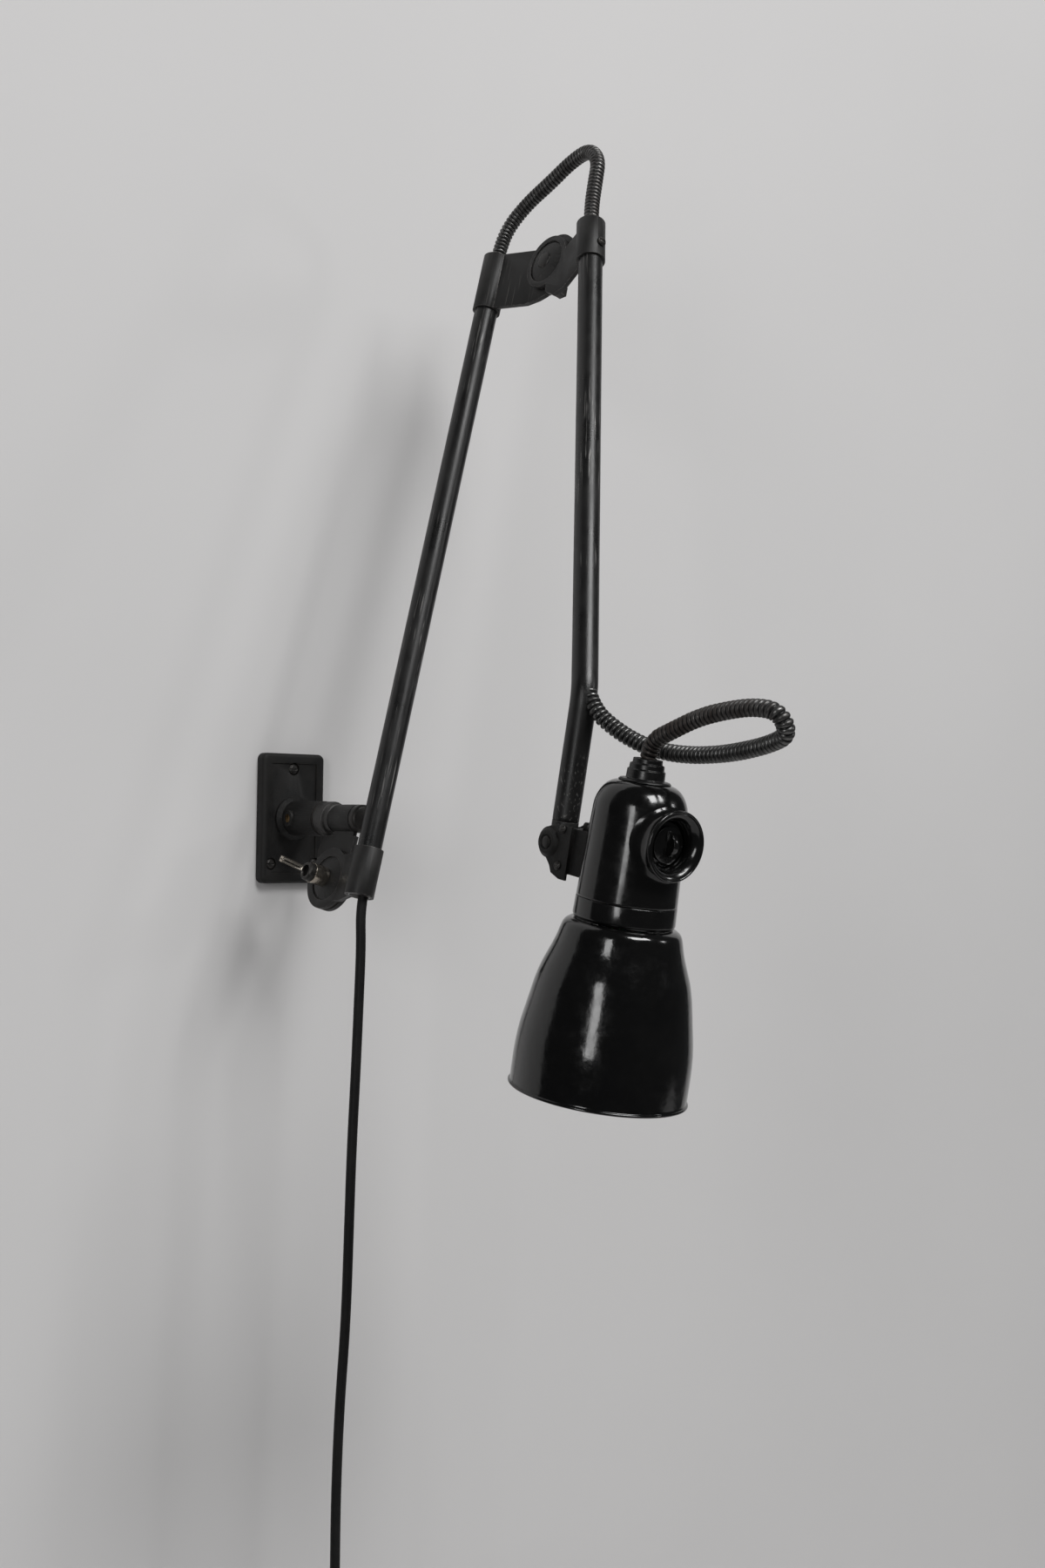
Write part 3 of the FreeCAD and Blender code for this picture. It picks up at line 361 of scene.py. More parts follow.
masks = {  # cells to the metre, detail, roughness, and the two noise levels that become 0 and 1
    "raggedEdge": (420.0, 4.0, 0.7, 0.42, 0.62), "spots": (310.0, 6.0, 0.72, 0.66, 0.74),
    "scratches": (1.0, 3.0, 0.6, 0.6, 0.72), "scratched": (14.0, 2.0, 0.55, 0.42, 0.6),
    "film": (34.0, 6.0, 0.65, 0.45, 0.78), "specks": (900.0, 3.0, 0.7, 0.68, 0.76),
    "rubs": (140.0, 6.0, 0.7, 0.4, 0.75), "patches": (95.0, 5.0, 0.7, 0.4, 0.66),
}


def mask(tree, vector, name):
    scale, detail, rough, low, high = masks[name]
    return remap(tree, noise(tree, vector, scale, detail, rough), low, high)


# plain and worn are cosines between the rounded normal and the plain one
wearMake = {
    "samples": 6, "radius": 0.0011, "plain": 0.985, "worn": 0.86, "cloud": (0.35, 0.68), "grain": 1500.0,
    "cloudDulls": 0.6, "grainDulls": 0.5, "bareMetal": 0.9, "bareSunk": 0.8,
}


def buildWornCoat():
    # a coat over bare metal: cloudy colour, grain, scratches, and edges rubbed where the normal, rounded
    # off within the radius, departs from the plain one
    tree, source, target = nodeGroup("wornCoat", {
        "Coat": (0.02, 0.02, 0.02, 1), "Cloud": (0.04, 0.04, 0.04, 1), "Bare": (0.35, 0.34, 0.33, 1),
        "Scale": 60.0, "Edge Wear": 0.5, "Spots": 0.3, "Scratches": 0.3, "Rough Low": 0.3,
        "Rough High": 0.5, "Metal Low": 0.0, "Grain": 1.0,
    }, ("Colour", "Roughness", "Metallic", "Height"))
    place = add(tree, "TexCoord").outputs["Object"]
    inputs = source.outputs
    cloud = remap(tree, noise(tree, place, inputs["Scale"], 5.0), *wearMake["cloud"])
    colour = mixed(tree, cloud, inputs["Coat"], inputs["Cloud"])
    soft = add(tree, "Bevel", samples=wearMake["samples"])
    soft.inputs["Radius"].default_value = wearMake["radius"]
    plain = add(tree, "NewGeometry").outputs["Normal"]
    facing = add(tree, "VectorMath", operation="DOT_PRODUCT")
    tree.links.new(soft.outputs["Normal"], facing.inputs[0])
    tree.links.new(plain, facing.inputs[1])
    edge = remap(tree, facing.outputs["Value"], wearMake["plain"], wearMake["worn"])
    ragged = mask(tree, place, "raggedEdge")
    edge = maths(tree, "MULTIPLY", maths(tree, "MULTIPLY", edge, ragged), inputs["Edge Wear"])
    spots = maths(tree, "MULTIPLY", mask(tree, place, "spots"), inputs["Spots"])
    streak = add(tree, "Attribute", attribute_name="streak").outputs["Vector"]
    lines = maths(tree, "MULTIPLY", mask(tree, streak, "scratches"), mask(tree, place, "scratched"))
    lines = maths(tree, "MULTIPLY", lines, inputs["Scratches"])
    bare = maths(tree, "MAXIMUM", maths(tree, "MAXIMUM", edge, spots), lines)
    tree.links.new(mixed(tree, bare, colour, inputs["Bare"]), target.inputs["Colour"])
    grain = noise(tree, place, wearMake["grain"], 3.0, 0.6)
    clouded = maths(tree, "MULTIPLY", cloud, wearMake["cloudDulls"])
    patchy = maths(tree, "ADD", clouded, maths(tree, "MULTIPLY", grain, wearMake["grainDulls"]))
    rough = remap(tree, patchy, 0.1, 0.9, inputs["Rough Low"], inputs["Rough High"])
    tree.links.new(rough, target.inputs["Roughness"])
    metal = remap(tree, bare, 0.0, 1.0, inputs["Metal Low"], wearMake["bareMetal"])
    tree.links.new(metal, target.inputs["Metallic"])
    rise = maths(tree, "SUBTRACT", grain, maths(tree, "MULTIPLY", bare, wearMake["bareSunk"]))
    tree.links.new(maths(tree, "MULTIPLY", rise, inputs["Grain"]), target.inputs["Height"])
    return tree


def buildMoulded():
    # a glossy moulded or stoved surface: orange peel, a film of dust and fine rub marks
    tree, source, target = nodeGroup("mouldedGloss", {
        "Body": (0.01, 0.01, 0.01, 1), "Dust": (0.08, 0.075, 0.07, 1), "Dusting": 0.15, "Peel Scale": 260.0,
        "Rough Low": 0.06, "Rough High": 0.2,
    }, ("Colour", "Roughness", "Height"))
    place = add(tree, "TexCoord").outputs["Object"]
    inputs = source.outputs
    film = maths(tree, "MAXIMUM", mask(tree, place, "film"), mask(tree, place, "specks"))
    film = maths(tree, "MULTIPLY", film, inputs["Dusting"])
    tree.links.new(mixed(tree, film, inputs["Body"], inputs["Dust"]), target.inputs["Colour"])
    rubs = mask(tree, place, "rubs")
    dulled = maths(tree, "MAXIMUM", rubs, film)
    rough = remap(tree, dulled, 0.0, 1.0, inputs["Rough Low"], inputs["Rough High"])
    tree.links.new(rough, target.inputs["Roughness"])
    tree.links.new(noise(tree, place, inputs["Peel Scale"], 2.0, 0.5), target.inputs["Height"])
    return tree


wornCoat, mouldedGloss = buildWornCoat(), buildMoulded()


def blankMaterial(name):
    made = bpy.data.materials.new(name)
    made.use_nodes = True
    return made, made.node_tree, made.node_tree.nodes["Principled BSDF"]


def material(name, group, values, shader, bump):
    made, tree, surface = blankMaterial(name)
    for label, value in shader.items():
        surface.inputs[label].default_value = value
    use = add(tree, "Group")
    use.node_tree = group
    for label, value in values.items():
        use.inputs[label].default_value = value
    for output, label in (("Colour", "Base Color"), ("Roughness", "Roughness"), ("Metallic", "Metallic")):
        if output in use.outputs:
            tree.links.new(use.outputs[output], surface.inputs[label])
    bumped(tree, use.outputs["Height"], *bump, surface)
    return made


def grey(value, warmth=0.0):
    return (value * (1 + warmth), value, value * (1 - warmth), 1)


castIron = material("castIron", wornCoat, {
    "Coat": grey(0.0055), "Cloud": grey(0.011, 0.06), "Bare": grey(0.06, 0.12), "Scale": 75.0,
    "Edge Wear": 0.45, "Spots": 0.25, "Scratches": 0.1, "Rough Low": 0.42, "Rough High": 0.68,
    "Grain": 1.3,
}, {"Specular IOR Level": 0.28}, (0.5, 0.0004))
strapPaint = material("strapPaint", wornCoat, {
    "Coat": grey(0.010, 0.02), "Cloud": grey(0.018, 0.04), "Bare": grey(0.22, 0.05), "Scale": 48.0,
    "Edge Wear": 0.7, "Spots": 0.3, "Scratches": 0.4, "Rough Low": 0.36, "Rough High": 0.58,
}, {"Specular IOR Level": 0.32}, (0.35, 0.0003))
tubePaint = material("tubePaint", wornCoat, {
    "Coat": grey(0.006), "Cloud": grey(0.012, 0.02), "Bare": grey(0.42, 0.03), "Scale": 36.0,
    "Edge Wear": 0.6, "Spots": 0.25, "Scratches": 0.8, "Rough Low": 0.22, "Rough High": 0.44,
    "Grain": 0.8,
}, {"Specular IOR Level": 0.4}, (0.4, 0.00025))
darkSteel = material("darkSteel", wornCoat, {
    "Coat": grey(0.018, 0.03), "Cloud": grey(0.034, 0.08), "Bare": grey(0.2, 0.04), "Scale": 90.0,
    "Edge Wear": 0.8, "Spots": 0.4, "Scratches": 0.3, "Rough Low": 0.3, "Rough High": 0.5,
    "Metal Low": 0.6, "Grain": 1.0,
}, {}, (0.3, 0.0002))
sleeveSteel = material("sleeveSteel", wornCoat, {
    "Coat": grey(0.030, 0.02), "Cloud": grey(0.050, 0.04), "Bare": grey(0.25, 0.03), "Scale": 120.0,
    "Edge Wear": 0.6, "Spots": 0.5, "Scratches": 0.3, "Rough Low": 0.34, "Rough High": 0.52,
    "Metal Low": 0.4, "Grain": 1.0,
}, {}, (0.3, 0.0002))
nickelPlate = material("nickelPlate", wornCoat, {
    "Coat": (0.56, 0.52, 0.46, 1), "Cloud": (0.42, 0.37, 0.31, 1), "Bare": (0.26, 0.19, 0.12, 1),
    "Scale": 110.0, "Edge Wear": 0.3, "Spots": 0.2, "Scratches": 0.2, "Rough Low": 0.14,
    "Rough High": 0.3, "Metal Low": 0.97, "Grain": 0.5,
}, {}, (0.15, 0.0002))
brassPlain = material("brassPlain", wornCoat, {
    "Coat": (0.20, 0.13, 0.06, 1), "Cloud": (0.11, 0.07, 0.035, 1), "Bare": (0.45, 0.34, 0.17, 1),
    "Scale": 120.0, "Edge Wear": 0.4, "Spots": 0.2, "Scratches": 0.2, "Rough Low": 0.22,
    "Rough High": 0.42, "Metal Low": 0.95, "Grain": 0.6,
}, {}, (0.2, 0.0002))
darkFibre = material("darkFibre", wornCoat, {
    "Coat": (0.009, 0.007, 0.006, 1), "Cloud": (0.016, 0.012, 0.009, 1), "Bare": (0.04, 0.03, 0.022, 1),
    "Scale": 260.0, "Edge Wear": 0.3, "Spots": 0.4, "Scratches": 0.0, "Rough Low": 0.65,
    "Rough High": 0.85, "Grain": 1.4,
}, {}, (0.5, 0.0003))
blackBakelite = material("blackBakelite", mouldedGloss, {
    "Body": grey(0.0028), "Dust": grey(0.03, 0.05), "Dusting": 0.12, "Peel Scale": 150.0,
    "Rough Low": 0.12, "Rough High": 0.30,
}, {"Coat Weight": 0.2, "Coat Roughness": 0.08, "Specular IOR Level": 0.45}, (0.12, 0.0003))
glandBakelite = material("glandBakelite", mouldedGloss, {
    "Body": grey(0.005), "Dust": grey(0.04, 0.06), "Dusting": 0.3, "Peel Scale": 300.0,
    "Rough Low": 0.26, "Rough High": 0.46,
}, {"Specular IOR Level": 0.45}, (0.12, 0.0003))
rubberCord = material("rubberCord", mouldedGloss, {
    "Body": grey(0.005), "Dust": grey(0.024, 0.05), "Dusting": 0.3, "Peel Scale": 700.0,
    "Rough Low": 0.5, "Rough High": 0.68,
}, {"Specular IOR Level": 0.22}, (0.25, 0.0003))
plugPlastic = material("plugPlastic", mouldedGloss, {
    "Body": grey(0.006), "Dust": grey(0.03), "Dusting": 0.15, "Peel Scale": 420.0, "Rough Low": 0.25,
    "Rough High": 0.4,
}, {}, (0.12, 0.0002))
glazedPorcelain = material("glazedPorcelain", mouldedGloss, {
    "Body": (0.70, 0.68, 0.62, 1), "Dust": (0.5, 0.44, 0.36, 1), "Dusting": 0.3, "Peel Scale": 200.0,
    "Rough Low": 0.12, "Rough High": 0.3,
}, {}, (0.05, 0.0002))
insideEnamel = material("insideEnamel", mouldedGloss, {
    "Body": (0.74, 0.73, 0.69, 1), "Dust": (0.52, 0.46, 0.38, 1), "Dusting": 0.25, "Peel Scale": 240.0,
    "Rough Low": 0.2, "Rough High": 0.4,
}, {}, (0.05, 0.0002))
opalGlass = material("opalGlass", mouldedGloss, {
    "Body": (0.86, 0.86, 0.83, 1), "Dust": (0.7, 0.68, 0.62, 1), "Dusting": 0.15, "Peel Scale": 60.0,
    "Rough Low": 0.08, "Rough High": 0.16,
}, {"Subsurface Weight": 0.2, "Subsurface Scale": 0.01, "Coat Weight": 0.3}, (0.02, 0.0002))


chipMake = {
    "colour": (0.11, 0.045, 0.018, 1), "cells": 260.0, "ragged": 0.9, "from": 0.98, "to": 1.06,
    "duller": 0.35,
}


def enamelMaterial(spec):
    # glossy black stove enamel, chipped to a brown ground where the "chips" attribute plus noise is high
    made = material("blackEnamel", mouldedGloss, {
        "Body": grey(0.0022), "Dust": grey(0.025, 0.04), "Dusting": 0.1, "Peel Scale": 210.0,
        "Rough Low": 0.11, "Rough High": 0.26,
    }, {"Coat Weight": 0.15, "Coat Roughness": 0.06, "Specular IOR Level": 0.5}, (0.2, 0.0005))
    tree = made.node_tree
    surface = tree.nodes["Principled BSDF"]
    colour = surface.inputs["Base Color"].links[0].from_socket
    rough = surface.inputs["Roughness"].links[0].from_socket
    near = add(tree, "Attribute", attribute_name="chips").outputs["Fac"]
    place = add(tree, "TexCoord").outputs["Object"]
    ragged = maths(tree, "MULTIPLY", noise(tree, place, spec["cells"], 5.0, 0.65), spec["ragged"])
    chip = remap(tree, maths(tree, "ADD", near, ragged), spec["from"], spec["to"])
    tree.links.new(mixed(tree, chip, colour, spec["colour"]), surface.inputs["Base Color"])
    duller = maths(tree, "MULTIPLY", chip, spec["duller"])
    tree.links.new(maths(tree, "ADD", rough, duller), surface.inputs["Roughness"])
    return made


# the near-black groove colour and the two levels that bound its mask paint shade into the grooves between the
# ribs
stripMake = {
    "bright": (0.13, 0.13, 0.128, 1), "cloudy": (0.055, 0.054, 0.053, 1), "brown": (0.030, 0.019, 0.014, 1),
    "grooveShade": (0.004, 0.004, 0.004, 1), "grooveShadeFrom": 0.18, "grooveShadeTo": 0.6, "rough": (0.27, 0.62),
    "metal": (0.92, 0.35), "leastBrown": 0.55, "grain": 1100.0, "relief": (0.25, 0.0002),
}


def hoseMaterial(spec):
    # gunmetal strip: bright crowns, painted shade (near black, less metallic) down in the grooves between the
    # ribs, and brown where "tarnish" is
    made, tree, surface = blankMaterial("woundStrip")
    place = add(tree, "TexCoord").outputs["Object"]
    grooveShade = add(tree, "Attribute", attribute_name="grooveShade").outputs["Fac"]
    tarnish = add(tree, "Attribute", attribute_name="tarnish").outputs["Fac"]
    patches = mask(tree, place, "patches")
    brown = maths(tree, "MULTIPLY", tarnish, remap(tree, patches, 0.0, 1.0, spec["leastBrown"], 1.0))
    crown = mixed(tree, patches, spec["bright"], spec["cloudy"])
    crown = mixed(tree, brown, crown, spec["brown"])
    # painted shade: the grooves go near black as their depth rises
    paintedGrooveShade = remap(tree, grooveShade, spec["grooveShadeFrom"], spec["grooveShadeTo"])
    tree.links.new(mixed(tree, paintedGrooveShade, crown, spec["grooveShade"]), surface.inputs["Base Color"])
    rough = remap(tree, maths(tree, "ADD", patches, brown), 0.0, 2.0, *spec["rough"])
    tree.links.new(rough, surface.inputs["Roughness"])
    dull = remap(tree, maths(tree, "MAXIMUM", paintedGrooveShade, brown), 0.0, 1.0, *spec["metal"])
    tree.links.new(dull, surface.inputs["Metallic"])
    bumped(tree, noise(tree, place, spec["grain"], 4.0, 0.6), *spec["relief"], surface)
    return made


blackEnamel, woundStrip = enamelMaterial(chipMake), hoseMaterial(stripMake)
print("finishes made")


cordMake = {
    "radius": 0.0032, "steps": 6, "bushLength": 0.009, "bushOffset": 0.0024, "bushTurn": -40,
    "below": 0.007, "coilLevel": -0.560, "coilRadius": 0.036, "coilPitch": 0.0074, "coilTurns": 5,
    "pointsPerTurn": 16, "tail": (0.02, 0.045, 0.070),
    "hanging": [(-0.0276, -0.1308, -0.082), (-0.0285, -0.1305, -0.118), (-0.0296, -0.130, -0.162),
                (-0.0315, -0.1295, -0.212), (-0.0324, -0.1292, -0.266), (-0.0334, -0.129, -0.322),
                (-0.0374, -0.129, -0.378), (-0.0390, -0.129, -0.434), (-0.0386, -0.129, -0.488),
                (-0.0392, -0.129, -0.538)],
}


def cordPoints(spec):
    # out of the bush, down the hanging points, round the hank with an even step in -Y, and down the tail;
    # a hank point is centre + reach * (cos of the angle in X, sin of it in Z)
    bushTurn = math.radians(spec["bushTurn"])
    aside = np.array([math.cos(bushTurn), math.sin(bushTurn), 0])
    aside = unit(aside - lowerWay * aside.dot(lowerWay))
    mouth = lowerFoot + aside * spec["bushOffset"]
    hanging = [mouth + lowerWay * spec["bushLength"], mouth - lowerWay * spec["below"], *spec["hanging"]]
    across, outward, _ = spec["hanging"][-1]
    start = np.array([across, outward, spec["coilLevel"] - 2 * spec["radius"]])
    turn = np.arange(0, spec["coilTurns"] * spec["pointsPerTurn"] + 1)
    angle = math.pi + turn * 2 * math.pi / spec["pointsPerTurn"]
    reach = spec["coilRadius"] / math.cos(math.pi / spec["pointsPerTurn"])  # so the sides touch the turn
    centre = start + np.array([spec["coilRadius"], 0, 0])
    ring = centre + np.stack([np.cos(angle) * reach, -turn * spec["coilPitch"] / spec["pointsPerTurn"],
                              np.sin(angle) * reach], axis=1)
    end = start - np.array([0, spec["coilPitch"] * spec["coilTurns"], 0])
    tail = [end - np.array([0, 0, drop]) for drop in spec["tail"]]
    return mouth, np.vstack([hanging, ring, tail])


cordExit, cordLine = cordPoints(cordMake)
mainsCord = nurbs("mainsCord", cordLine, cordMake["radius"], cordMake["steps"])
finish(mainsCord, rubberCord, "lower_arm", "mains_cord", "cord_coil")
print("cord laid")


hoseMake = {
    "crest": 0.00515, "plain": 0.0103, "samples": 3000, "endSteps": 60, "endShare": 0.4, "endCrown": 0.15,
    "uneven": 0.008, "unevenTurn": 12.9898, "unevenStart": 4.1,
}
elbowHoseMake = {
    **hoseMake, "valley": 0.00405, "pitch": 0.00277, "stepsPerRib": 8, "around": 36, "crownPower": 3.0,
    "tarnish": ([0, 0.5, 1], [0.1, 0.25, 0.45]),
}
loopHoseMake = {
    **hoseMake, "valley": 0.0037, "pitch": 0.0033, "stepsPerRib": 12, "around": 40, "crownPower": 2.6,
    "tarnish": ([0, 0.5, 0.62, 0.72, 0.9, 1], [0.0, 0.05, 0.12, 0.6, 0.95, 0.9]),
}


def ribbedHose(name, points, spec, reference, replaced):
    # radius = valley + (crest - valley) * (1 - |2 * fraction of the phase - 1| to a power)
    # phase = length along / pitch + angle / a full turn, so the groove winds round once for each rib
    path, length = evenPath(pointsAlong(points), spec["samples"])
    ribs = int((length[-1] - 2 * spec["plain"]) / spec["pitch"])
    path, length = evenPath(path, ribs * spec["stepsPerRib"] + spec["endSteps"])
    _, aside, other = pathFrames(path, reference)
    angle = np.linspace(0, 2 * math.pi, spec["around"], endpoint=False)
    phase = (length[:, None] - spec["plain"]) / spec["pitch"] + angle[None, :] / (2 * math.pi)
    across = np.abs(2 * (phase % 1.0) - 1)
    crown = 1 - across**spec["crownPower"]
    margin = spec["plain"] * spec["endShare"]
    inside = (length > margin) & (length < length[-1] - margin)
    crown = np.where(inside[:, None], crown, spec["endCrown"])
    drift = np.sin(np.floor(phase) * spec["unevenTurn"] + spec["unevenStart"])
    uneven = 1 - spec["uneven"] + spec["uneven"] * drift * inside[:, None]
    radius = (spec["valley"] + (spec["crest"] - spec["valley"]) * crown) * uneven
    surface = path[:, None] + radius[..., None] * ringAt(aside, other, spec["around"])
    rows, columns = radius.shape
    faces = gridFaces(rows, columns)[:, ::-1].tolist()
    faces += [list(range(columns)), [(rows - 1) * columns + k for k in range(columns)][::-1]]
    piece = newPiece(name, surface, faces)
    # the depth of the groove, which the strip's material turns into painted shade
    attribute(piece, "grooveShade", 1 - crown)
    share = (length / length[-1])[:, None] + 0 * angle
    attribute(piece, "tarnish", np.interp(share, *spec["tarnish"]))
    outward(piece, merge=0)  # every vertex and its attributes are kept
    finish(piece, woundStrip, None, *replaced)
    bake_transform(piece)


armNormal = leanTurn @ np.array([1.0, 0, 0])
elbowRoute = [lowerMouth - lowerWay * 0.008, lowerMouth + lowerWay * 0.010, armPoint(-14, 104.5, 435.0),
              armPoint(-14.5, 121, 448.2), armPoint(-15, 141, 457.6), armPoint(-15.5, 159.5, 468.4),
              armPoint(-16, 177.5, 472.6), armPoint(-16.4, 191.2, 461), armPoint(-16.7, 193.8, 443),
              upperMouth + upperWay * 0.013, upperMouth - upperWay * 0.008]
glandSeat = headPoint(0, -headFrame["offset"], 55.5)
loopRoute = [upperBend + np.array([0.0022, 0.0026, 0.0104]), (0.0035, -0.314, 0.0670),
             (0.012, -0.330, 0.0516), (0.019, -0.350, 0.0416),
             (0.0225, -0.374, 0.0377), (0.0225, -0.400, 0.0374),
             (0.0204, -0.424, 0.0392), (0.0185, -0.446, 0.0426), (0.0140, -0.4615, 0.0470),
             (0.0060, -0.4615, 0.0586), (0.0042, -0.446, 0.0616), (0.0038, -0.425, 0.0604),
             (0.0034, -0.404, 0.0572), (0.0024, -0.384, 0.0504), glandSeat + headUp * 0.014, glandSeat]
loopNormal = np.array([0.76, 0, 0.65])  # of the plane in which the loop nearly lies
ribbedHose("elbowHose", elbowRoute, elbowHoseMake, armNormal,
           ("elbow_hose", "arm_cable"))
ribbedHose("loopHose", loopRoute, loopHoseMake, loopNormal,
           ("loop_hose", "head_cable"))
print("hoses wound")


def tubeAlong(name, path, body, replaced):
    # path + outer radius * ring outside, back along path + bore * ring inside, and a lip at each end
    outer, bore, lip = (armPlane[key] / 1000 for key in ("tubeRadius", "tubeBore", "lip"))
    tangent, aside, other = pathFrames(path, armNormal)
    ring = ringAt(aside, other, armPlane["segments"])
    outside = path[:, None] + outer * ring
    outside[0] += tangent[0] * lip
    outside[-1] -= tangent[-1] * lip
    firstLip, lastLip = path[0] + (outer - lip) * ring[0], path[-1] + (outer - lip) * ring[-1]
    inside = path[::-1][:, None] + bore * ring[::-1]
    surface = np.concatenate([firstLip[None], outside, lastLip[None], inside])
    faces = gridFaces(len(surface), armPlane["segments"], closeRows=True)
    return finish(outward(newPiece(name, surface, faces.tolist())), tubePaint, body, replaced)


def bentPath(spec):
    # a straight run, an arc about a centre at the bend's radius / cos of half the turn, and the run down
    down = -headUp
    turn = math.acos(np.clip(np.dot(-upperWay, down), -1, 1))
    reach = spec["bendRadius"] / 1000 * math.tan(turn / 2)
    first, last = upperBend + upperWay * reach, upperBend + down * reach
    inward = unit(unit(upperWay) + down)
    centre = upperBend + inward * (spec["bendRadius"] / 1000 / math.cos(turn / 2))
    t = np.linspace(0, 1, spec["bendRows"])[:, None]
    mix = (first - centre) * (1 - t) + (last - centre) * t
    arc = centre + unit(mix) * spec["bendRadius"] / 1000
    end = pivot + headUp * headFrame["tubeAbovePivot"] / 1000
    upperRun = upperMouth + (first - upperMouth) * np.linspace(0, 1, spec["upperRows"])[:-1, None]
    neckRun = last + (end - last) * np.linspace(0, 1, spec["neckRows"])[1:, None]
    return np.vstack([upperRun, arc, neckRun])


lowerRun = lowerFoot + (lowerMouth - lowerFoot) * np.linspace(0, 1, armPlane["lowerRows"])[:, None]
lowerTube = tubeAlong("lowerTube", lowerRun, "lower_arm", "lower_tube")
upperTube = tubeAlong("upperTube", bentPath(armPlane), "upper_arm", "upper_tube")
streaked(lowerTube, lowerWay)
streaked(upperTube, upperWay)
print("tubes drawn")


# a pair is radius and level in millimetres, about the head's axis and from the level of its pivot; the
# inside of the switch cup has radius and reach
headMake = {
    "dome": [(11.0, 46.4), (17.0, 45.6), (21.5, 42.9), (24.9, 38.1), (26.7, 33.0), (27.2, 28.0)],
    "top": (5.0, 46.5), "seam": (29.2, -22.0), "wall": 3.0, "bore": 5.0, "ceiling": 42.6,
    "domeRows": 44, "sideRows": 60, "segments": 224, "behindCup": 15.6,
}
cupMake = {
    "level": 15.0, "reach": 35.3, "rim": 20.4, "lip": 1.1, "lipShare": 0.8, "yaw": -2.5, "segments": 160,
    "blendOut": 23.5, "sink": 0.12, "neckOut": 16.2, "neckRise": 0.4, "flare": 0.9, "flareBack": 2.2,
    "inside": [(18.6, 35.2), (17.0, 34.4), (14.9, 32.0), (13.7, 29.4), (13.3, 26.5), (13.3, 24.0)],
    "curveRows": 26, "lipRows": 10, "insideRows": 24,
}


def domeProfile(spec):
    # the outside from the top down, and the inside back up, less the wall's thickness
    outside = spline(spec["dome"], spec["domeRows"])
    side = np.linspace(spec["dome"][-1], spec["seam"], spec["sideRows"])[1:]
    outside = np.vstack([[spec["top"]], outside, side])
    inside = outside[::-1].copy()
    inside[:, 0] = np.maximum(inside[:, 0] - spec["wall"], spec["bore"])
    inside[:, 1] = np.minimum(inside[:, 1], spec["ceiling"])
    return outside, np.vstack([outside, inside])


def domeRadius(level, outside):  # the dome's radius at a level, from its outside profile
    return np.interp(level, outside[::-1, 1], outside[::-1, 0])


def headPoints(x, y, z):  # arrays of head-frame millimetres to metres
    return pivot + np.stack([x, y - headFrame["offset"], z], axis=-1) @ headTurn.T / 1000


def moulding():
    # x = radius * sin of the angle, y = -radius * cos of it, z = level
    outside, section = domeProfile(headMake)
    angle = np.linspace(0, 2 * math.pi, headMake["segments"], endpoint=False)
    radius, level = section[:, :1], section[:, 1:]
    x, y, z = radius * np.sin(angle), -radius * np.cos(angle), level + 0 * angle
    faces = gridFaces(len(section), len(angle), closeRows=True)
    # the wall is left open behind the switch cup, where both of its rings lie inside the cup's neck
    yaw = math.radians(cupMake["yaw"])
    across = (x * math.cos(yaw) + y * math.sin(yaw)).ravel()
    high = (z - cupMake["level"]).ravel()
    fromAxis = np.hypot(across, high)
    hidden = (fromAxis[faces].max(axis=1) < headMake["behindCup"]) & (y.ravel()[faces].max(axis=1) < 0)
    dome = outward(newPiece("headDome", headPoints(x, y, z), faces[~hidden].tolist()))
    finish(dome, blackBakelite, "head", "head_shell")
    return outside


def switchCup(spec, outside):
    # a cubic Bezier from the dome to the rim at each angle, then half a circle over the lip, then the inside
    around = np.linspace(0, 2 * math.pi, spec["segments"], endpoint=False)
    yaw = math.radians(spec["yaw"])

    def surfaceReach(radius):  # how far out the dome stands, by this radius and angle round the switch axis
        side, level = radius * np.cos(around), spec["level"] + radius * np.sin(around)
        return np.sqrt(np.maximum(domeRadius(level, outside)**2 - side**2, 1.0))

    t = np.linspace(0, 1, spec["curveRows"])[:, None]
    foot = (spec["blendOut"], surfaceReach(spec["blendOut"]) - spec["sink"])
    bend = (spec["neckOut"], surfaceReach(spec["neckOut"]) + spec["neckRise"])
    neck = (spec["neckOut"] + spec["flare"], np.full_like(around, spec["reach"] - spec["flareBack"]))
    rim = (spec["rim"], np.full_like(around, spec["reach"] - spec["lip"]))
    weights = [(1 - t)**3, 3 * t * (1 - t)**2, 3 * t**2 * (1 - t), t**3]
    controls = [foot, bend, neck, rim]
    radius = sum(w * (r + 0 * around) for w, (r, _) in zip(weights, controls))
    reach = sum(w * h for w, (_, h) in zip(weights, controls))
    turnAngle = np.linspace(0, math.pi, spec["lipRows"])[1:-1, None]
    lipWide = spec["lip"] * spec["lipShare"]
    lipRadius = spec["rim"] - lipWide + lipWide * np.cos(turnAngle) + 0 * around
    lipReach = spec["reach"] - spec["lip"] + spec["lip"] * np.sin(turnAngle) + 0 * around
    inner = spline(spec["inside"], spec["insideRows"])
    radius = np.vstack([radius, lipRadius, inner[:, :1] + 0 * around])
    reach = np.vstack([reach, lipReach, inner[:, 1:] + 0 * around])
    side, level = radius * np.cos(around), spec["level"] + radius * np.sin(around)
    x = side * math.cos(yaw) + reach * math.sin(yaw)
    y = -reach * math.cos(yaw) + side * math.sin(yaw)
    faces = gridFaces(len(radius), spec["segments"])
    cup = newPiece("switchCup", headPoints(x, y, level), faces.tolist())
    finish(outward(cup), blackBakelite, "head")


switchCup(cupMake, moulding())

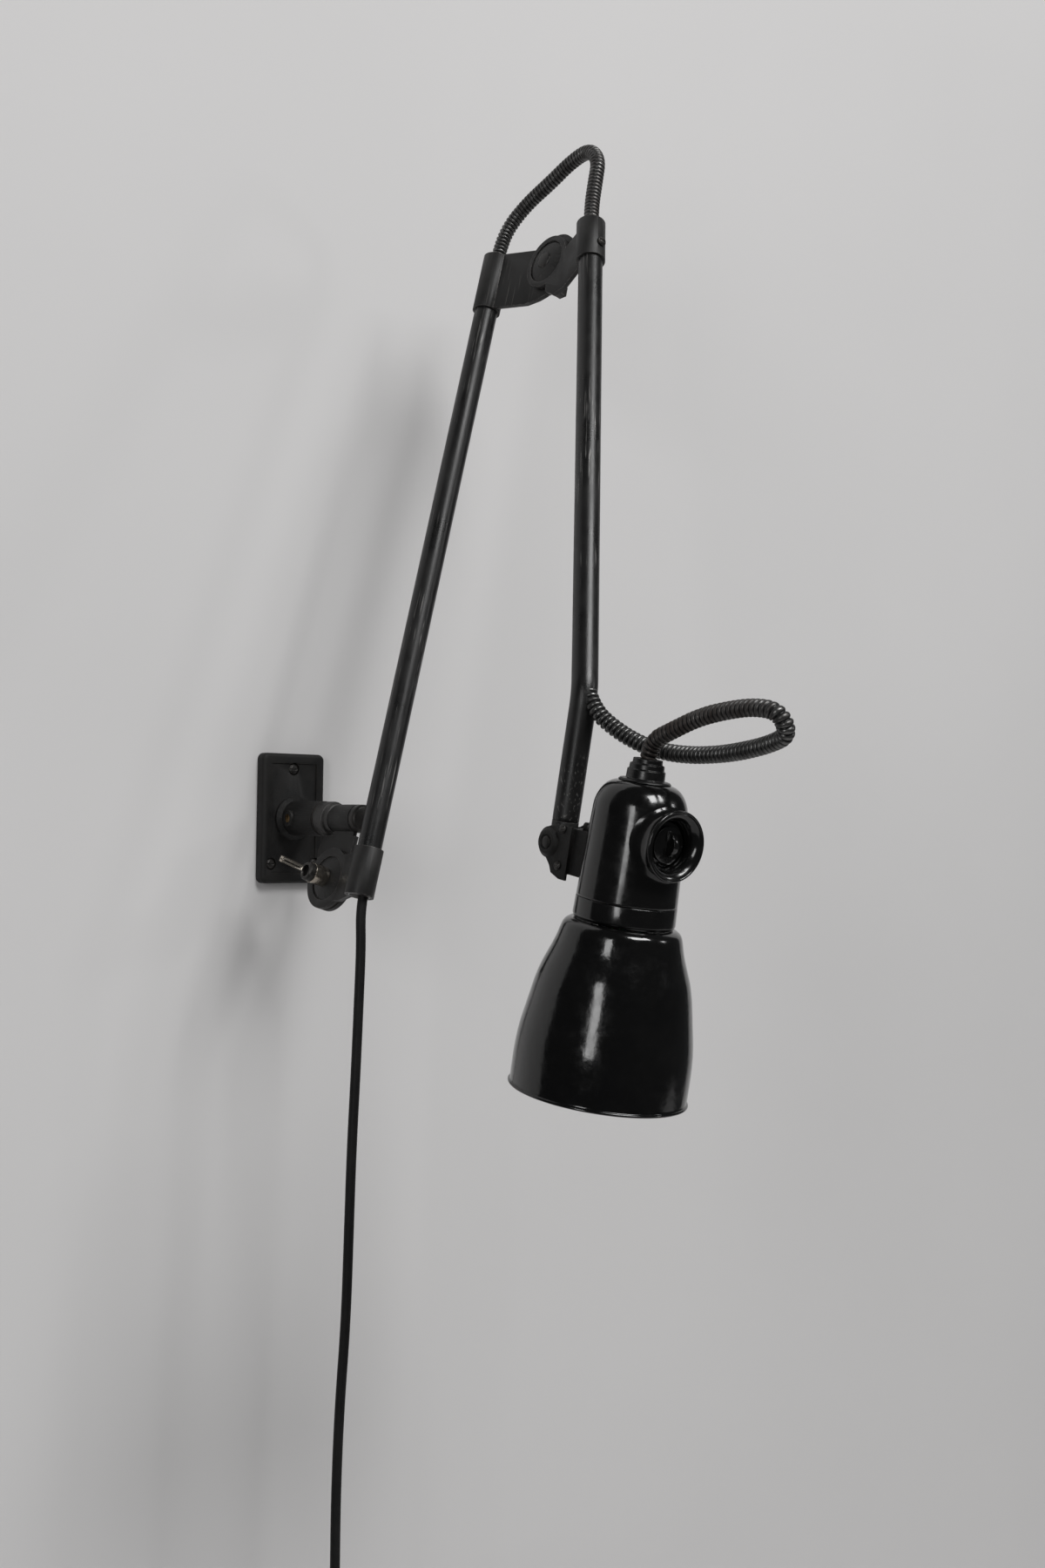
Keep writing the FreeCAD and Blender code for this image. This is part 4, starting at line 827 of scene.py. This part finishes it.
collarMake = {
    "profile": [(24.6, -22.4), (29.3, -22.4), (29.7, -32.9), (28.6, -34.9), (24.6, -34.9)],
    "bend": 0.7, "segments": 224,
}
glandMake = {
    "profile": [(4.55, 59.4), (8.5, 59.5), (8.6, 56.8), (10.0, 56.4), (10.1, 53.5), (11.0, 53.1),
                (11.2, 47.9), (14.4, 47.5), (15.4, 46.3), (4.9, 46.2)],
    "bend": 0.5, "segments": 96,
}


def turned(name, spec, centre, axis):  # a rounded profile carried round the axis
    return revolve(name, rounded(spec["profile"], spec["bend"]), centre, axis, spec["segments"])


finish(turned("shadeCollar", collarMake, headAxisFoot, headUp), blackBakelite, "head", "shade_collar")
finish(turned("hoseGland", glandMake, headAxisFoot, headUp), glandBakelite, "head", "hose_gland")

shadeMake = {
    "outside": [(30.2, -35.3), (33.4, -37.4), (35.2, -41.4), (36.8, -47.4), (39.6, -55.4), (43.3, -65.4),
                (47.7, -85.9), (50.7, -104.4), (51.4, -122.4), (51.3, -132.6)],
    "wall": 0.9, "rows": 120, "segments": 256,
    "rimRoll": 0.9, "rollAt": (0.15, -1.3), "rollTurn": (0.5, -1.1), "rollRows": 16,  # turn in half circles
    "insideFrom": -37.5, "topInside": [(29.0, -36.3), (19.6, -36.3), (19.6, -35.3)], "paleBelow": -36.0,
    "chipLevels": ((-134.5, 1.6, 0.62), (-36.0, 1.2, 0.5)),  # level, how far it fades and the most
    "chipWaves": ((3, 0.9), (7, 2.0)),  # waves round the shade and where they start
}


def bellShade(spec):
    # the outside spline, a rolled rim, and the inside back up: the outside less the wall along its normal
    outside = spline(spec["outside"], spec["rows"])
    along = unit(np.gradient(outside, axis=0))
    inside = (outside - np.stack([-along[:, 1], along[:, 0]], axis=1) * spec["wall"])[::-1]
    turnAngle = np.linspace(*(share * math.pi for share in spec["rollTurn"]), spec["rollRows"])[:, None]
    rollCentre = outside[-1] + spec["rollAt"]
    roll = rollCentre + spec["rimRoll"] * np.hstack([np.cos(turnAngle), np.sin(turnAngle)])
    profile = np.vstack([outside, roll, inside[inside[:, 1] < spec["insideFrom"]], spec["topInside"]])
    shade = revolve("bellShade", profile, headAxisFoot, headUp, spec["segments"])
    finish(shade, blackEnamel, "head", "shade")
    shade.data.materials.append(insideEnamel)
    local = (cornersOf(shade.data) - headAxisFoot) @ headTurn * 1000
    radius, level = np.hypot(local[:, 0], local[:, 1]), local[:, 2]
    angle = np.arctan2(local[:, 1], local[:, 0])
    outerAt = np.interp(level, outside[::-1, 1], outside[::-1, 0])
    isInside = (radius < outerAt - 0.5 * spec["wall"]) & (level < spec["paleBelow"])
    facePoints = np.empty(len(shade.data.polygons) * 4, np.int32)
    shade.data.polygons.foreach_get("vertices", facePoints)
    index = isInside[facePoints.reshape(-1, 4)].all(axis=1).astype(np.int32)
    shade.data.polygons.foreach_set("material_index", index)
    # chips sit at a few angles, and fade by e to the minus (distance from the level / fade) squared
    (few, fewStart), (many, manyStart) = spec["chipWaves"]
    spread = 0.5 + 0.5 * np.cos(angle * few + fewStart) * np.cos(angle * many + manyStart)
    attribute(shade, "chips", sum(most * np.exp(-((level - at) / fade)**2) * spread
                                  for at, fade, most in spec["chipLevels"]))


bellShade(shadeMake)
print("head and shade shaped")


easing = {"sheet": 0.55, "casting": 0.9, "small": 0.22, "fine": 0.12}  # edge widths, millimetres
easeMake = {"merge": 3e-6, "flat": 1.2, "sharp": 30, "segments": 2}


def dressed(node, surface, ease):  # a merged copy of the solid, its flat faces joined and its edges eased
    source = nodes[node]
    mesh = source.data.copy()
    mesh.name = node + "Eased"
    work = bmesh.new()
    work.from_mesh(mesh)
    bmesh.ops.remove_doubles(work, verts=work.verts, dist=easeMake["merge"])
    flat = math.radians(easeMake["flat"])
    bmesh.ops.dissolve_limit(work, angle_limit=flat, verts=work.verts, edges=work.edges)
    work.to_mesh(mesh)
    work.free()
    mesh.polygons.foreach_set("use_smooth", np.ones(len(mesh.polygons), bool))
    piece = placed(node + "Eased", mesh)
    bevel = piece.modifiers.new("easedEdges", "BEVEL")
    bevel.limit_method = "ANGLE"
    bevel.angle_limit = math.radians(easeMake["sharp"])
    bevel.width = ease / 1000
    bevel.segments = easeMake["segments"]
    bevel.harden_normals = True
    bevel.use_clamp_overlap = True
    return finish(piece, surface, source["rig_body"], node)


dressing = {
    "wall_plate": (castIron, "casting"), "wall_screws": (darkSteel, "small"),
    "stud_lock_screw": (brassPlain, "small"), "swivel_stud": (darkSteel, "small"),
    "swivel_washer": (darkFibre, "small"), "swivel_cap_nut": (darkSteel, "sheet"),
    "swivel_sleeve": (sleeveSteel, "small"), "swivel_strap": (strapPaint, "sheet"),
    "base_friction_washer": (darkFibre, "fine"), "base_pivot_bolt": (darkSteel, "small"),
    "lever_nut": (nickelPlate, "sheet"), "lower_arm_strap": (strapPaint, "sheet"),
    "elbow_rear_screw": (darkSteel, "small"), "elbow_rear_strap": (strapPaint, "sheet"),
    "cord_bush": (darkFibre, "small"), "elbow_friction_washer": (darkFibre, "fine"),
    "elbow_pivot_bolt": (darkSteel, "small"), "elbow_wing_washer": (darkSteel, "fine"),
    "elbow_wing_nut": (darkSteel, "sheet"), "elbow_front_screw": (darkSteel, "small"),
    "elbow_front_strap": (strapPaint, "sheet"), "tube_end_knuckle": (strapPaint, "small"),
    "head_lug": (castIron, "small"), "lug_knob": (darkSteel, "small"),
    "head_cheek_near": (castIron, "small"), "head_cheek_far": (castIron, "small"),
    "cheek_screws": (darkSteel, "small"), "tilt_washers": (darkFibre, "fine"),
    "tilt_bolt": (darkSteel, "small"), "tilt_nut": (darkSteel, "small"), "lug_screws": (darkSteel, "small"),
    "gland_nut": (brassPlain, "small"), "switch_body": (blackBakelite, "small"),
    "switch_key": (blackBakelite, "sheet"), "lamp_holder": (glazedPorcelain, "small"),
    "holder_thread_shell": (brassPlain, "fine"), "centre_contact": (brassPlain, "fine"),
    "bulb_cap": (brassPlain, "fine"), "shade_ring": (glandBakelite, "small"),
    "plug_body": (plugPlastic, "casting"), "plug_pins": (brassPlain, "small"),
}
cordEnds = {"plug_body", "plug_pins"}
for node, (surface, ease) in dressing.items():
    if node in cordEnds:
        finish(nodes[node], surface, None)
    else:
        dressed(node, surface, easing[ease])
leverMake = {
    "axis": (77.2, -43.5), "bend": 0.5, "segments": 96, "hubReach": 6.6,
    "profile": [(4.4, -8.75), (6.75, -8.75), (6.75, -19.8), (6.35, -19.8), (6.35, -15.4), (4.4, -15.4)],
}


def leverParts(spec):
    # a plated sleeve bears on the strap, and the nut's faces within the hub's reach of the axis are dark
    foot = armPoint(0, *spec["axis"])
    sleeve = turned("leverSleeve", spec, foot, armNormal)
    finish(sleeve, nickelPlate, "lever_nut", "lever_washer")
    nut = bpy.data.objects["lever_nutEased"]
    nut.data.materials.append(darkSteel)
    centres = np.empty(len(nut.data.polygons) * 3)
    nut.data.polygons.foreach_get("center", centres)
    arm = centres.reshape(-1, 3) - foot
    arm -= (arm @ armNormal)[:, None] * armNormal
    onHub = np.linalg.norm(arm, axis=1) < spec["hubReach"] / 1000
    nut.data.polygons.foreach_set("material_index", onHub.astype(np.int32))


leverParts(leverMake)
for node in ("lower_arm_strap", "elbow_rear_strap", "elbow_front_strap"):
    streaked(bpy.data.objects[node + "Eased"], upperWay if "front" in node else lowerWay)
bulbMake = {
    "outline": [(12.6, -22.0), (12.6, -31.0), (14.5, -38.0), (19.5, -52.0), (26.0, -65.0), (28.5, -79.0),
                (26.5, -91.0), (20.0, -101.0), (10.5, -106.5), (0.0, -108.0)],
    "top": (0, -22.0), "rows": 70, "segments": 96,
}
bulbProfile = np.vstack([[bulbMake["top"]], spline(bulbMake["outline"], bulbMake["rows"])])
bulbGlass = revolve("bulbGlass", bulbProfile, headAxisFoot, headUp, bulbMake["segments"], closed=False)
finish(bulbGlass, opalGlass, "head", "bulb_glass")
print("solids dressed")


stageMake = {
    "left": -0.55, "right": 2.4, "floor": -0.95, "top": 1.5, "front": -1.5, "behind": 0.0004,
    "colour": (0.585, 0.578, 0.576, 1), "drift": 1.03, "patches": 2.2,
}


def stageSheet(name, corners, seeThroughBack):
    sheet = newPiece(name, corners, [[0, 1, 2, 3]], smooth=False)
    colour = stageMake["colour"]
    made, tree, surface = blankMaterial(name)
    surface.inputs["Roughness"].default_value = 0.9
    surface.inputs["Specular IOR Level"].default_value = 0.1
    place = add(tree, "TexCoord").outputs["Object"]
    tint = remap(tree, noise(tree, place, stageMake["patches"], 3.0), 0.3, 0.7)
    paler = tuple(c * stageMake["drift"] for c in colour[:3]) + (1,)
    tree.links.new(mixed(tree, tint, colour, paler), surface.inputs["Base Color"])
    if seeThroughBack:
        clear = add(tree, "BsdfTransparent")
        switch = add(tree, "MixShader")
        tree.links.new(add(tree, "NewGeometry").outputs["Backfacing"], switch.inputs[0])
        tree.links.new(surface.outputs[0], switch.inputs[1])
        tree.links.new(clear.outputs[0], switch.inputs[2])
        tree.links.new(switch.outputs[0], tree.nodes["Material Output"].inputs["Surface"])
    sheet.data.materials.append(made)


left, right, floor = stageMake["left"], stageMake["right"], stageMake["floor"]
top, front, behind = stageMake["top"], stageMake["front"], stageMake["behind"]
wallCorners = [(left, behind, floor), (right, behind, floor), (right, behind, top), (left, behind, top)]
floorCorners = [(left, front, floor), (right, front, floor), (right, behind, floor), (left, behind, floor)]
stageSheet("wallSheet", wallCorners, seeThroughBack=True)
stageSheet("floorSheet", floorCorners, seeThroughBack=False)

lamps = {
    "keySoftbox": {"place": (1.35, -1.55, 0.62), "aim": (0.02, -0.2, 0.0), "size": (0.2, 0.26), "power": 1.7},
    "topSoftbox": {"place": (0.3, -3.0, 2.6), "aim": (0.0, 0.0, -0.1), "size": (2.0, 1.4), "power": 137.0},
    "leftSoftbox": {"place": (-2.1, -1.5, 0.3), "aim": (0.1, 0.0, -0.1), "size": (0.5, 1.2), "power": 13.0},
}


def softbox(name, spec):  # turned so that its face looks at the aim
    data = bpy.data.lights.new(name, "AREA")
    data.shape = "RECTANGLE"
    data.size, data.size_y = spec["size"]
    data.energy = spec["power"]
    lamp = placed(name, data)
    way = Vector(spec["aim"]) - Vector(spec["place"])
    turn = way.to_track_quat("-Z", "Y").to_matrix().to_4x4()
    lamp.matrix_world = Matrix.Translation(spec["place"]) @ turn


for lampName, lampSpec in lamps.items():
    softbox(lampName, lampSpec)
worldMake = {"light": (0.95, 0.97, 1.0, 1), "strength": 0.05, "background": (0.55, 0.55, 0.55, 1)}
world = bpy.data.worlds.new("studio")
world.use_nodes = True
worldTree = world.node_tree
dim = worldTree.nodes["Background"]
dim.inputs["Color"].default_value = worldMake["light"]
dim.inputs["Strength"].default_value = worldMake["strength"]
pale = add(worldTree, "Background")
pale.inputs["Color"].default_value = worldMake["background"]
seen = add(worldTree, "MixShader")
worldTree.links.new(add(worldTree, "LightPath").outputs["Is Camera Ray"], seen.inputs[0])
worldTree.links.new(dim.outputs[0], seen.inputs[1])
worldTree.links.new(pale.outputs[0], seen.inputs[2])
worldTree.links.new(seen.outputs[0], worldTree.nodes["World Output"].inputs["Surface"])
bpy.context.scene.world = world
bpy.context.scene.view_settings.view_transform = "Standard"
print("stage lit")
